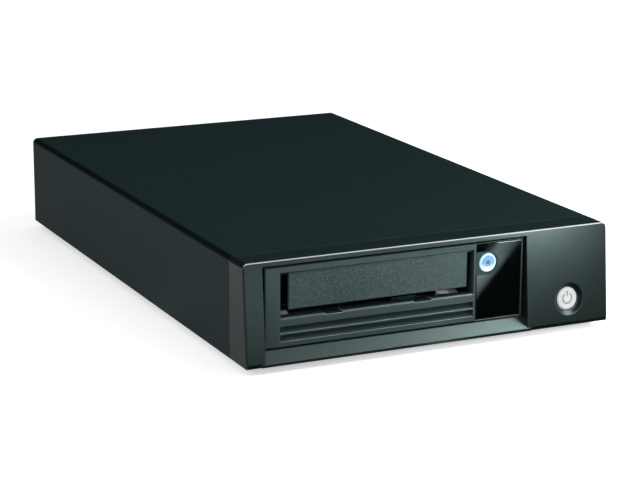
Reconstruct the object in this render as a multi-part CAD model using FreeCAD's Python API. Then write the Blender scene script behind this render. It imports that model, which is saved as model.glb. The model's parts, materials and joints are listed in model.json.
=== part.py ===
import FreeCAD, Part
import math
import os

# Desktop tape drive: a steel case with a moulded face, and a half-height drive module inside it.
# Millimetres. X runs to the right, Y to the back and Z up, from the middle of the footprint.
V = FreeCAD.Vector
os.makedirs("parts", exist_ok=True)

# Case
left_pillar = 12.6            # case side to the drive's bezel
right_panel = 50.7            # drive's bezel to the other side
top_rim = 3.8                 # drive's bezel to the case top
chin_height = 6.3             # case floor to the drive's bezel
face_lean = 4.7               # the face's foot stands this far ahead of its top
front_bezel_depth = 16.7      # at the top edge
front_wall = 2.4              # moulded wall of the face
seam = 0.3                    # between the face moulding and the cover
sheet = 1.0                   # steel of the cover, tray and rear panel
bend_radius = 3.0             # outside of the cover's bends
hem = 12.0                    # cover edge turned in below the tray
tray_wall = 12.0              # tray edge turned up inside the cover
slip = 0.3                    # between parts that slide together
panel_recess = 3.0            # rear panel inside the cover's back edge
foot_height = 5.4
foot_radius = 8.0
foot_inset = 32.0             # foot centre from the case's sides and ends

# Face
window_gap = 1.1              # above and right of the drive's bezel
window_left_gap = 2.0
ledge_lip = 0.3               # thin front edge of the sloped ledge
ledge_drop = 0.7              # drive's bezel to the ledge
flange_depth = 9.0            # window walls behind the drive's face
flange_wall = 1.8
power_from_side = 24.2        # power button centre to the case side
power_height = 13.3           # and above the case floor
power_radius = 6.25
power_gap = 0.2
power_travel = 1.5
power_length = 11.0
power_stem = 2.0
dish_radius = 8.9             # mouth of the dish round the power button
dish_floor_radius = 6.8
dish_depth = 1.5
face_round = 0.8              # edge between the face and its sides
board_post = 2.5              # posts that carry the switch board
stake_radius = 1.0
sleeve_wall = 1.8
sleeve_length = 7.0
tab_width = 12.0              # tongues that hold the face in the cover and tray
tab_thickness = 1.6
tab_length = 7.0

# Drive module
drive_bezel_height = 42.5
drive_bezel_depth = 8.0
drive_setback = 1.0           # behind the face's top edge
side_overhang = 1.85          # bezel past the module body
end_overhang = 0.6
cast_wall = 2.0
cast_floor = 1.6
pocket_count = 5              # shallow recesses along each cast side
pocket_margin = 12.0
pocket_gap = 11.0
pocket_depth = 0.7
lid_sheet = 0.8
lid_skirt = 5.0
part_gap = 0.2                # between fixed parts of one body

# Drive bezel
bezel_skin = 2.0
slot_room = 6.2               # cartridge to the slot's sides, both together
slot_height = 23.8
slot_from_left = 8.45         # bezel edge to the slot
slot_sill = 15.35             # bezel foot to the slot
slot_chamfer = 0.6            # along the sill
sill_notch_width = 10.4
sill_notch_depth = 0.8
sill_notch_reach = 25.7       # from the slot's middle
louvre_tops = (10.95, 6.55)
louvre_mouth = 3.55           # height at the face
louvre_throat = 1.25          # height at the back
louvre_depth = 4.0
gloss_strip = 1.25            # slot to the gloss panel
gloss_width = 27.2
gloss_rim = 1.2
gloss_edge = 0.6
gloss_thickness = 1.6
tab_radius = 6.2              # round end of the eject button's surround
tab_reach = 7.2               # surround's flat edge to the button centre
button_drop = 10.6            # gloss panel's top to the button centre
button_radius = 5.15
button_gap = 0.25
button_travel = 1.2
button_length = 5.4
button_proud = 0.15
switch_gap = 0.2
pipe_radius = 1.1
pipe_pitch = 4.6
pipe_count = 4
pipe_foot = 8.0               # gloss panel's foot to the lowest light

# Door
door_left_gap = 5.1           # slot's side to the door's end
door_right_gap = 3.9
door_gap = 4.05               # sill to the door's foot
door_thickness = 1.5
door_recess = 0.6
barrel_radius = 1.0
barrel_pocket = 0.3
hinge_pin_radius = 0.5
pin_clearance = 0.08
door_rib_count = 7
door_rib_width = 1.0
door_rib_depth = 0.5

# Cartridge that the slot takes, and the loader that lowers it
cartridge_width = 105.4
cartridge_height = 21.5
cartridge_play = 1.5
cartridge_rise = 0.3          # above the sill
loader_sheet = 1.0
tray_front = 24.0             # behind the drive's face
tray_length = 92.0
tray_drop = 3.5
tray_lip = 5.0
stud_radius = 1.25
stud_reach = 3.7
stud_ends = 12.0              # from the tray's ends
stud_rise = 14.6              # above the tray floor
stop_height = 6.0             # cartridge stop at the tray's back
stop_from_left = 10.0
stop_from_right = 30.0
relief_width = 18.0           # openings in the tray's floor
relief_length = 40.0
relief_edge = 2.0
relief_front = 30.0
cam_sheet = 1.5
cam_gap = 0.5
cam_ratio = 1.5               # cam travel for each unit of drop
cam_height = 9.0
link_depth = 3.5
link_height = 1.6
guide_sheet = 1.4
guide_height = 26.0
chuck_hole = 21.5
pressure_angle = 25.0
rack_module = 0.6
rack_teeth = 12
pinion_teeth = 14
gear_module = 0.5
gear_teeth = 26
motor_teeth = 13
backlash = 0.08
gear_width = 2.0
gear_place = 38.0             # from the tray's front
axle_radius = 1.0
loader_motor_radius = 5.6
loader_motor_length = 14.0
motor_shaft_radius = 0.75
motor_bore_depth = 2.1

# Sprung guide fingers behind the sill, from the drive's middle
finger_sheet = 0.8
finger_spans = ((-63.2, -57.6), (29.2, 35.8), (36.8, 40.6))
finger_front = 7.0            # behind the drive's face
finger_back = 12.5
finger_rise = 1.2             # slope of each lip over its depth
finger_foot = 10.0            # length under the deck
ear_width = 3.0
ear_height = 3.2
sensor_span = (2.0, 16.0)
sensor_sheet = 1.0

# Deck and tape path
board_rise = 2.0              # main board above the cast floor
board_thickness = 1.6
deck_rise = 6.8               # deck above the cast floor
deck_thickness = 1.4
plug_length = 14.0
plug_width = 42.0
plug_height = 6.0
plug_from_middle = 20.0
plug_wall = 1.2
plug_mouth = 8.0              # depth of the plug's mouth
plug_tongue = 1.0
post_radius = 3.2
# Chips on the main board: shares across and along the module, size and height
board_chip_places = ((-0.48, 0.29, 24.0, 1.6), (0.14, 0.54, 20.0, 1.6), (-0.27, 0.73, 16.0, 1.4),
                     (0.41, 0.29, 14.0, 1.4), (-0.66, 0.54, 12.0, 1.2))
deck_front = 24.0
deck_middle = 122.0           # middle posts, behind the loader
tape_height = 13.4            # between the flanges
tape_middle = 12.6            # tape's middle above the deck
supply_back = 66.0            # supply spindle behind the drive's face
chuck_radius = 17.0
chuck_teeth = 18
supply_stator_radius = 19.5
reel_back = 160.0             # take-up spindle behind the drive's face
reel_radius = 41.0
reel_room = 2.0               # reel to the cast back wall
reel_hub_radius = 19.0
reel_flange = 1.2
spindle_radius = 2.5
running_gap = 0.08
roller_radius = 4.5
roller_rim = 6.0
roller_pin_radius = 1.5
# Rollers and head, from the drive's middle and behind its face
roller_places = ((50.0, 124.0), (63.5, 131.0), (63.5, 164.0), (42.0, 176.0))
head_place = (66.5, 147.5)
head_travel = 2.0
head_screw_lead = 3.0
head_screw_radius = 1.5
head_pin_radius = 1.0
head_pin_pitch = 9.0
carriage_height = 12.0

# Back of the case
inlet_from_side = 30.0
inlet_height = 25.0
inlet_width = 27.2
inlet_tall = 19.8
inlet_rim = 2.0
inlet_wall = 1.5
inlet_depth = 20.0
blade_pitch = 7.0
blade_width = 2.0
blade_tall = 4.0
blade_length = 15.0
port_width = 28.0
port_height = 12.0
port_wall = 0.8
port_depth = 22.0
port_pitch = 36.0
port_middle = 8.0
port_rise = 22.0
fan_size = 40.0
fan_thickness = 20.0
fan_middle = -64.0
fan_bore = 38.0
fan_hub_radius = 11.5
fan_blades = 7
fan_tip_gap = 0.7
fan_hole_pitch = 32.0
perforation = 3.2             # across the flats of each hexagonal hole
perforation_pitch = 4.2
vent_count = 8                # slots in the tray's floor, below the drive
vent_length = 80.0
vent_width = 3.0
vent_pitch = 9.0
vent_back = 60.0              # first vent behind the drive's face

# Power supply and boards in the case
supply_board_width = 46.0
supply_board_length = 104.0
supply_board_side = 5.0       # from the case side
supply_back_room = 10.0       # between the board and the mains inlet
supply_beside = 8.0           # length of the board beside the drive module
supply_inset = 4.0            # board's edge to its screws
capacitor_radius = 9.0
capacitor_height = 22.0
capacitor_back = 14.0
filter_radius = 4.0           # the two smaller cans
filter_height = 16.0
filter_front = 12.0
filter_pitch = 16.0
can_edge = 0.8
switch_board_width = 30.0
switch_board_below = 6.0      # board's foot below the power button
switch_board_above = 16.0
switch_board_back = 3.5       # ahead of the face moulding's back edge
switch_screw_pitch = 22.0
switch_screw_rise = 12.0
switch_size = 7.0
supply_standoff = 6.0
sink_height = 24.0
sink_length = 58.0
sink_sheet = 1.5
fin_count = 5
fin_pitch = 4.0
fin_sheet = 1.2
fin_reach = 6.0
core_width = 22.0             # transformer core
core_depth = 16.0
core_height = 20.0
core_leg = 3.0
winding_gap = 0.2
bracket_sheet = 1.2
bracket_height = 24.0
bracket_foot = 9.0
bracket_length = 150.0
bracket_setback = 30.0        # behind the drive's face
bracket_screw_rise = 10.0     # above the drive's foot
bracket_screw_end = 12.0      # from the bracket's ends
bracket_foot_end = 30.0

# Screws
screw_radius = 1.4
screw_head_radius = 2.7
screw_head_height = 1.5
screw_hole = 1.55
screw_length = 4.0

# Derived places
slot_width = cartridge_width + slot_room
drive_bezel_width = slot_from_left + slot_width + gloss_strip + gloss_width + gloss_rim
rear_bay = inlet_depth + supply_back_room + supply_board_length - supply_beside
case_width = left_pillar + drive_bezel_width + right_panel
case_height = chin_height + drive_bezel_height + top_rim
drive_length = reel_back + reel_radius + reel_room + cast_wall
case_depth = drive_setback + drive_length + rear_bay + sheet + panel_recess
half_width = case_width / 2
front_y = -(case_depth + face_lean) / 2
face_y = front_y + face_lean
back_y = face_y + case_depth
floor_z = foot_height
top_z = floor_z + case_height
bezel_back = face_y + front_bezel_depth
cover_front = bezel_back + seam
panel_y = back_y - panel_recess - sheet
tray_z = floor_z + sheet
lean_angle = math.degrees(math.atan2(face_lean, case_height))
drive_x = -half_width + left_pillar + drive_bezel_width / 2
drive_y = face_y + drive_setback
drive_z = floor_z + chin_height
body_half = drive_bezel_width / 2 - side_overhang
body_foot = end_overhang
body_top = drive_bezel_height - end_overhang
body_front = drive_bezel_depth + part_gap
slot_x = -drive_bezel_width / 2 + slot_from_left + slot_width / 2
slot_top = slot_sill + slot_height
door_width = slot_width - door_left_gap - door_right_gap
door_left = slot_x - slot_width / 2 + door_left_gap
gloss_right = drive_bezel_width / 2 - gloss_rim
gloss_left = gloss_right - gloss_width
gloss_top = drive_bezel_height - gloss_edge
button_x = gloss_left + tab_reach
button_z = gloss_top - button_drop
deck_z = body_foot + cast_floor + deck_rise
deck_top = deck_z + deck_thickness
board_z = body_foot + cast_floor + board_rise
tape_z = deck_top + tape_middle
tray_floor_top = slot_sill
tray_floor = tray_floor_top - loader_sheet
bay_half = cartridge_width / 2 + cartridge_play
gear_y = tray_front + gear_place
rack_pitch_radius = rack_module * pinion_teeth / 2
stud_z = tray_floor_top + stud_rise
cam_foot = stud_z - tray_drop - stud_radius - 1.6
rack_line = cam_foot - 1.25 * rack_module
gear_z = rack_line - rack_pitch_radius
gear_reach = gear_module * (gear_teeth + motor_teeth) / 2
X = V(1, 0, 0)
Y = V(0, 1, 0)
Z = V(0, 0, 1)


def block(x0, x1, y0, y1, z0, z1):
    return Part.makeBox(x1 - x0, y1 - y0, z1 - z0, V(x0, y0, z0))


def rod(radius, length, base, axis=Z):
    return Part.makeCylinder(radius, length, base, axis)


def prism(points, push):
    return Part.Face(Part.makePolygon(points + points[:1])).extrude(push)


def prism_x(outline, x0, x1):
    """Outline in (y, z), pulled along X."""
    return prism([V(x0, y, z) for y, z in outline], V(x1 - x0, 0, 0))


def prism_y(outline, y0, y1):
    return prism([V(x, y0, z) for x, z in outline], V(0, y1 - y0, 0))


def prism_z(outline, z0, z1):
    return prism([V(x, y, z0) for x, y in outline], V(0, 0, z1 - z0))


def fused(first, *others):
    return first.fuse(list(others)).removeSplitter()


def cut(shape, *tools):
    return shape.cut(list(tools))


def group(solids):
    return Part.makeCompound(solids)


def is_line_along(edge, axis):
    if edge.Curve.TypeId != "Part::GeomLine":
        return False
    return abs(edge.Curve.Direction.dot(axis)) > 0.9999


def fillet(shape, radius, pick):
    return shape.makeFillet(radius, [edge for edge in shape.Edges if pick(edge)])


def turned(profile, base, axis=Z):
    """Solid of revolution from (radius, height) points about an axis through base."""
    face = Part.Face(Part.makePolygon([V(r, 0, h) for r, h in profile + profile[:1]]))
    solid = face.revolve(V(0, 0, 0), Z, 360)
    solid.Placement = FreeCAD.Placement(base, FreeCAD.Rotation(Z, axis))
    return solid


def copies(shape, places):
    return [shape.translated(place) for place in places]


def in_drive(shape):
    return shape.translated(V(drive_x, drive_y, drive_z))


def screw(place, axis=Z, length=screw_length):
    """Pan head seated on place, with its shank running against axis."""
    profile = [(0, -length), (screw_radius, -length), (screw_radius, 0), (screw_head_radius, 0),
               (screw_head_radius, screw_head_height), (0, screw_head_height)]
    return turned(profile, place, axis)


def flank(teeth, module, spread):
    """Half a tooth of an involute gear as (radius, angle) from foot to tip."""
    pitch = module * teeth / 2
    base = pitch * math.cos(math.radians(pressure_angle))
    tip = pitch + module
    foot = pitch - 1.25 * module
    half = math.pi / (2 * teeth) - spread / (2 * pitch)
    slope = math.radians(pressure_angle)
    middle = half + math.tan(slope) - slope
    points = [(foot, middle)] if foot < base else []
    start = max(base, foot)
    for step in range(4):
        radius = start + (tip - start) * step / 3
        unwound = math.acos(min(1, base / radius))
        points.append((radius, middle - (math.tan(unwound) - unwound)))
    return points


def gear(teeth, module, width, bore, base, phase=0.0):
    """Spur gear about X, with one tooth pointing up when phase is 0."""
    half = flank(teeth, module, backlash)
    outline = []
    for tooth in range(teeth):
        middle = math.radians(phase) + 2 * math.pi * tooth / teeth
        both = [(r, middle - a) for r, a in half] + [(r, middle + a) for r, a in reversed(half)]
        outline += [(base.y - r * math.sin(a), base.z + r * math.cos(a)) for r, a in both]
    wheel = prism_x(outline, base.x, base.x + width)
    return wheel.cut(rod(bore, width + 2, base - X, X))


# Case parts

def make_front_bezel():
    outline = [(face_y, top_z), (front_y, floor_z), (bezel_back, floor_z), (bezel_back, top_z)]
    shell = prism_x(outline, -half_width, half_width)
    shell = fillet(shell, bend_radius, lambda edge: is_line_along(edge, Y))
    shell = fillet(shell, face_round, lambda edge: edge.BoundBox.YMax < face_y + 0.01
                   or (edge.BoundBox.YMax < face_y + 0.5 and edge.BoundBox.ZLength > 1))
    inner = [(face_y + front_wall, top_z - front_wall),
             (front_y + front_wall, floor_z + front_wall),
             (bezel_back + 1, floor_z + front_wall), (bezel_back + 1, top_z - front_wall)]
    shell = shell.cut(prism_x(inner, -half_width + front_wall, half_width - front_wall))
    left = drive_x - drive_bezel_width / 2 - window_left_gap
    right = drive_x + drive_bezel_width / 2 + window_gap
    ledge_z = drive_z - ledge_drop
    window_top = drive_z + drive_bezel_height + window_gap
    deep = drive_y + flange_depth
    slope = (ledge_z - floor_z - ledge_lip) / (drive_y - front_y)
    ahead = 3.0
    hole = [(front_y - ahead, floor_z + ledge_lip - slope * ahead), (drive_y, ledge_z),
            (bezel_back + 1, ledge_z), (bezel_back + 1, window_top), (front_y - ahead, window_top)]
    shell = shell.cut(prism_x(hole, left, right))
    ledge = [(front_y, floor_z), (front_y, floor_z + ledge_lip), (drive_y, ledge_z), (deep, ledge_z),
             (deep, ledge_z - flange_wall), (drive_y + flange_wall / 2, ledge_z - flange_wall),
             (front_y + 2 * flange_wall, floor_z)]
    walls = [prism_x(ledge, left - flange_wall, right + flange_wall)]
    for side in (left - flange_wall, right):
        wall = [(face_y + face_round, top_z - front_wall), (front_y + face_round, floor_z + front_wall / 2),
                (deep, floor_z + front_wall / 2), (deep, top_z - front_wall)]
        walls.append(prism_x(wall, side, side + flange_wall))
    rib = [(face_y + front_wall / 2, top_z - front_wall), (face_y + 9, top_z - front_wall),
           (front_y + 9, floor_z + front_wall), (front_y + front_wall / 2, floor_z + front_wall)]
    rib_x = right + (half_width - right) * 0.86
    walls.append(prism_x(rib, rib_x, rib_x + 1.4))
    shell = fused(shell, *walls)
    shell = fused(shell, *front_bezel_tabs())
    for tool in power_hole_tools():
        shell = shell.cut(tool)
    return fused(shell, power_sleeve(), *switch_board_posts())


def switch_board_places():
    place, normal = power_axis()
    return [V(place.x + side * switch_screw_pitch / 2, switch_board_y(), place.z + switch_screw_rise)
            for side in (-1, 1)]


def switch_board_posts():
    """Posts behind the face with a stake through the switch board."""
    posts = []
    for place in switch_board_places():
        start = front_y + face_lean * (place.z - floor_z) / case_height + front_wall / 2
        posts.append(rod(board_post, place.y - start, V(place.x, start, place.z), Y))
        posts.append(rod(stake_radius, board_thickness + stake_radius / 2, place, Y))
    return posts


def power_axis():
    """Outward normal of the leaning face, and the button's place on it."""
    lean = math.radians(lean_angle)
    normal = V(0, -math.cos(lean), math.sin(lean))
    up = power_height
    place = V(half_width - power_from_side, front_y + face_lean * up / case_height, floor_z + up)
    return place, normal


def power_hole_tools():
    place, normal = power_axis()
    over = 0.5
    flare = (dish_radius - dish_floor_radius) / dish_depth * over
    mouth = Part.makeCone(dish_radius + flare, dish_floor_radius, dish_depth + over,
                          place + normal * over, normal * -1)
    hole = rod(power_radius + power_gap, 2 * sleeve_length, place + normal, normal * -1)
    return mouth, hole


def power_sleeve():
    place, normal = power_axis()
    start = place - normal * dish_depth
    outer = rod(power_radius + power_gap + sleeve_wall, sleeve_length, start, normal * -1)
    collar = rod(dish_radius + sleeve_wall / 2, front_wall, start, normal * -1)
    outer = outer.fuse(collar)
    inner = rod(power_radius + power_gap, sleeve_length + 2, start + normal, normal * -1)
    return outer.cut(inner)


def front_bezel_tabs():
    """Tongues under the cover's top and over the tray's floor."""
    tabs = []
    upper = top_z - sheet - part_gap
    lower = tray_z + sheet + part_gap
    for x in (-0.6 * half_width, 0.0, 0.6 * half_width):
        left = x - tab_width / 2
        right = x + tab_width / 2
        front = bezel_back - tab_length
        back = bezel_back + tab_length
        tabs.append(block(left, right, front, back, upper - tab_thickness, upper))
        tabs.append(block(left, right, front, back, lower, lower + tab_thickness))
    return tabs


def make_power_button():
    place, normal = power_axis()
    crown = 0.7
    barrel = power_length - 4.0
    profile = [(0, 0), (power_radius - crown, -0.1), (power_radius, -crown), (power_radius, -barrel),
               (power_stem, -barrel), (power_stem, -power_length), (0, -power_length)]
    return turned(profile, place - normal * dish_depth * 0.9, normal)


def make_top_cover():
    inner_radius = bend_radius - sheet
    outer = block(-half_width, half_width, cover_front, back_y, floor_z, top_z)
    outer = fillet(outer, bend_radius, lambda edge: is_line_along(edge, Y))
    inner = block(-half_width + sheet, half_width - sheet, cover_front - 1, back_y + 1,
                  floor_z + sheet, top_z - sheet)
    inner = fillet(inner, inner_radius, lambda edge: is_line_along(edge, Y))
    mouth = block(-half_width + hem, half_width - hem, cover_front - 1, back_y + 1,
                  floor_z - 1, floor_z + 2 * sheet)
    cover = cut(outer, inner, mouth)
    return cut(cover, *[rod(screw_hole, 2 * sheet, place - Z * sheet) for place in cover_screw_places()])


def cover_screw_places():
    side = half_width - hem / 2
    rows = [cover_front + (back_y - cover_front) * share for share in (0.08, 0.5, 0.92)]
    return [V(x, y, floor_z) for x in (-side, side) for y in rows]


def tray_half():
    return half_width - sheet - slip


def make_bottom_tray():
    half = tray_half()
    end = panel_y - part_gap
    start = cover_front + slip
    floor = block(-half, half, start, end, tray_z, tray_z + sheet)
    sides = [block(x, x + sheet, start, end, tray_z + bend_radius, tray_z + tray_wall)
             for x in (-half, half - sheet)]
    bends = []
    for side in (-1, 1):
        middle = V(side * (half - bend_radius), start, tray_z + bend_radius)
        outer = rod(bend_radius, end - start, middle, Y)
        inner = rod(bend_radius - sheet, end - start, middle, Y)
        quarter = block(min(side * half, middle.x), max(side * half, middle.x),
                        start, end, tray_z, tray_z + bend_radius)
        bends.append(outer.common(quarter).cut(inner))
        floor = floor.cut(quarter)
    back = block(-half + bend_radius, half - bend_radius, end - sheet, end,
                 tray_z + sheet / 2, tray_z + tray_wall)
    notch = fan_size / 2 + 2 * slip
    back = back.cut(block(fan_middle - notch, fan_middle + notch, end - 2 * sheet, end + sheet,
                          tray_z + sheet, tray_z + tray_wall + 1))
    tray = fused(floor, back, *sides, *bends)
    vents = []
    vent_x = drive_x - vent_length / 2
    for row in range(vent_count):
        y = drive_y + vent_back + row * vent_pitch
        vents.append(block(vent_x, vent_x + vent_length, y, y + vent_width, tray_z - 1, tray_z + 2 * sheet))
    tray = cut(tray, *vents)
    holes = [rod(screw_hole, 3 * sheet, V(p.x, p.y, tray_z - sheet)) for p in cover_screw_places()]
    holes += [rod(screw_hole, 3 * sheet, V(p.x, p.y, tray_z - sheet)) for p in bracket_foot_places()]
    holes += [rod(screw_hole, 3 * sheet, V(p.x, p.y, tray_z - sheet)) for p in foot_places()]
    holes += [rod(screw_hole, 4 * sheet, V(p.x, end - 2 * sheet, p.z), Y) for p in panel_screw_places()]
    tray = cut(tray, *holes)
    posts = [rod(3.0, supply_standoff, V(p.x, p.y, tray_z + sheet)) for p in supply_board_corners()]
    posts += [rod(2.5, port_board_rise(), V(p.x, p.y, tray_z + sheet)) for p in port_board_corners()]
    return fused(tray, *posts)


def foot_places():
    x = half_width - foot_inset
    return [V(sx * x, y, 0) for sx in (-1, 1) for y in (face_y + foot_inset + 8, back_y - foot_inset)]


def make_feet():
    rise = tray_z
    profile = [(0, 0), (foot_radius - 1.2, 0), (foot_radius, 1.2), (foot_radius - 0.8, rise),
               (screw_radius, rise), (screw_radius, rise + sheet), (0, rise + sheet)]
    foot = turned(profile, V(0, 0, 0))
    return group(copies(foot, foot_places()))


def panel_screw_places():
    z = tray_z + tray_wall * 0.62
    return [V(share * half_width, panel_y, z) for share in (-0.9, 0.05 + 0.4, 0.93)]


def hexagon(x, z, across):
    radius = across / math.sqrt(3)
    return [(x + radius * math.sin(math.radians(60 * i)), z + radius * math.cos(math.radians(60 * i)))
            for i in range(6)]


def fan_z():
    return tray_z + sheet + slip + fan_size / 2


def perforation_places():
    row_step = perforation_pitch * math.sqrt(3) / 2
    reach = fan_bore / 2 - perforation
    rows = int(reach / row_step)
    places = []
    for row in range(-rows, rows + 1):
        shift = perforation_pitch / 2 if row % 2 else 0.0
        count = int(reach / perforation_pitch) + 1
        for column in range(-count, count + 1):
            x = column * perforation_pitch + shift
            z = row * row_step
            if math.hypot(x, z) < reach:
                places.append((fan_middle + x, fan_z() + z))
    return places


def fan_hole_places(y):
    half = fan_hole_pitch / 2
    return [V(fan_middle + sx * half, y, fan_z() + sz * half) for sx in (-1, 1) for sz in (-1, 1)]


def port_places():
    return [V(port_middle + side * port_pitch / 2, panel_y + sheet, floor_z + port_rise) for side in (-1, 1)]


def inlet_place():
    return V(half_width - inlet_from_side, panel_y + sheet, floor_z + inlet_height)


def make_rear_panel():
    half = tray_half()
    low = floor_z + sheet + part_gap
    high = top_z - sheet - part_gap
    panel = block(-half, half, panel_y, panel_y + sheet, low, high)
    panel = fillet(panel, bend_radius - sheet, lambda edge: is_line_along(edge, Y))
    flange = 8.0
    lip = block(-half + 2 * bend_radius, half - 2 * bend_radius, panel_y - flange, panel_y,
                high - sheet, high)
    panel = fused(panel, lip)
    tools = [prism_y(hexagon(x, z, perforation), panel_y - 1, panel_y + sheet + 1)
             for x, z in perforation_places()]
    for place in port_places():
        tools.append(block(place.x - port_width / 2 - part_gap, place.x + port_width / 2 + part_gap,
                           panel_y - 1, panel_y + sheet + 1,
                           place.z - part_gap, place.z + port_height + part_gap))
    inlet = inlet_place()
    tools.append(block(inlet.x - inlet_width / 2 - part_gap, inlet.x + inlet_width / 2 + part_gap,
                       panel_y - 1, panel_y + sheet + 1,
                       inlet.z - inlet_tall / 2 - part_gap, inlet.z + inlet_tall / 2 + part_gap))
    tools += [rod(screw_hole, 3 * sheet, p - Y * sheet, Y) for p in panel_screw_places()]
    tools += [rod(screw_hole + 0.3, 3 * sheet, p - Y * sheet, Y) for p in fan_hole_places(panel_y)]
    return cut(panel, *tools)


def make_power_inlet():
    """Three-blade mains inlet with its rim on the panel's outside."""
    place = inlet_place()
    half_w = inlet_width / 2
    half_t = inlet_tall / 2
    rim = block(place.x - half_w - inlet_rim, place.x + half_w + inlet_rim, place.y, place.y + inlet_rim,
                place.z - half_t - inlet_rim, place.z + half_t + inlet_rim)
    rim = fillet(rim, 1.5, lambda edge: is_line_along(edge, Y))
    body = block(place.x - half_w, place.x + half_w, place.y - inlet_depth, place.y,
                 place.z - half_t, place.z + half_t)
    body = fused(rim, body)
    chamfer = 4.2
    in_w = half_w - inlet_wall
    in_t = half_t - inlet_wall
    hollow = [(place.x - in_w, place.z - in_t), (place.x + in_w, place.z - in_t),
              (place.x + in_w, place.z + in_t - chamfer), (place.x + in_w - chamfer, place.z + in_t),
              (place.x - in_w + chamfer, place.z + in_t), (place.x - in_w, place.z + in_t - chamfer)]
    depth = blade_length + 1.5
    body = body.cut(prism_y(hollow, place.y + inlet_rim - depth, place.y + inlet_rim + 1))
    slots = [blade(x, z, 1) for x, z in blade_places()]
    return cut(body, *slots)


def blade_places():
    place = inlet_place()
    return [(place.x - blade_pitch, place.z), (place.x, place.z + 2.0), (place.x + blade_pitch, place.z)]


def blade(x, z, over=0.0):
    """One blade, from its solder tail to its tip; over widens nothing and only runs it through."""
    end = panel_y + sheet + inlet_rim - 1.5
    tail = panel_y + sheet - inlet_depth - 4.0
    return block(x - blade_width / 2, x + blade_width / 2, tail - over, end,
                 z - blade_tall / 2, z + blade_tall / 2)


def make_inlet_blades():
    def is_tip_side(edge):
        box = edge.BoundBox
        return box.YMin > panel_y and box.XLength < 0.01 and box.YLength < 0.01
    return group([fillet(blade(x, z), 0.5, is_tip_side) for x, z in blade_places()])


def make_port_cages():
    cages = []
    for place in port_places():
        half = port_width / 2
        cage = block(place.x - half, place.x + half, place.y - port_depth, place.y + 0.8,
                     place.z, place.z + port_height)
        cage = fillet(cage, 1.0, lambda edge: is_line_along(edge, Y))
        inner = block(place.x - half + port_wall, place.x + half - port_wall, place.y - port_depth + 4.0,
                      place.y + 2, place.z + port_wall, place.z + port_height - port_wall)
        low = place.z + port_wall + 2.0
        tongue = block(place.x - half + 4.0, place.x + half - 4.0, place.y - port_depth + 3.0, place.y - 4.0,
                       low, low + 1.2)
        cages.append(fused(cage.cut(inner), tongue))
    return group(cages)


def port_board_rise():
    return port_rise - 1.6 - 2 * sheet


def port_board_box():
    reach = 42.0
    left = port_middle - port_pitch / 2 - port_width / 2 - 4
    right = port_middle + port_pitch / 2 + port_width / 2 + 4
    return left, right, panel_y - part_gap - 2.0 - reach, panel_y - part_gap - 2.0


def port_board_corners():
    left, right, front, back = port_board_box()
    inset = 4.0
    return [V(x, y, 0) for x in (left + inset, right - inset)
            for y in (front + inset, back - inset - port_depth)]


def make_port_board():
    left, right, front, back = port_board_box()
    low = tray_z + sheet + port_board_rise()
    board = block(left, right, front, back, low, floor_z + port_rise)
    board = cut(board, *[rod(screw_hole, 5, V(p.x, p.y, low - 1)) for p in port_board_corners()])
    return board


def make_fan_frame():
    half = fan_size / 2
    back = panel_y
    front = back - fan_thickness
    z = fan_z()
    frame = block(fan_middle - half, fan_middle + half, front, back, z - half, z + half)
    frame = fillet(frame, 3.0, lambda edge: is_line_along(edge, Y))
    bore = rod(fan_bore / 2, fan_thickness + 2, V(fan_middle, front - 1, z), Y)
    frame = frame.cut(bore)
    waist = 4.0
    recess = []
    for sx in (-1, 1):
        for sz in (-1, 1):
            corner = V(fan_middle + sx * half, 0, z + sz * half)
            recess.append(block(min(corner.x, corner.x - sx * 9), max(corner.x, corner.x - sx * 9),
                                front + waist, back - waist,
                                min(corner.z, corner.z - sz * 9), max(corner.z, corner.z - sz * 9)))
    barrel = rod(fan_bore / 2 + 1.2, fan_thickness, V(fan_middle, front, z), Y)
    frame = fused(frame.cut(group(recess)), barrel.cut(bore))
    holes = [rod(screw_hole, fan_thickness + 2, V(p.x, front - 1, p.z), Y) for p in fan_hole_places(front)]
    frame = cut(frame, *holes)
    middle = V(fan_middle, front, z)
    reach = rod(fan_bore / 2 + 0.6, fan_thickness, middle, Y)
    spokes = []
    for turn in (30, 150, 270):
        spoke = block(fan_middle - 1.0, fan_middle + 1.0, front, front + 2.0, z, z + fan_bore / 2 + 0.6)
        spokes.append(spoke.rotated(middle, Y, turn).common(reach))
    frame = fused(frame, rod(fan_hub_radius, 2.0, middle, Y), rod(3.2, 8.0, middle, Y), *spokes)
    return frame.cut(rod(1.5, fan_thickness, V(fan_middle, front - 1, z), Y))


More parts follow.
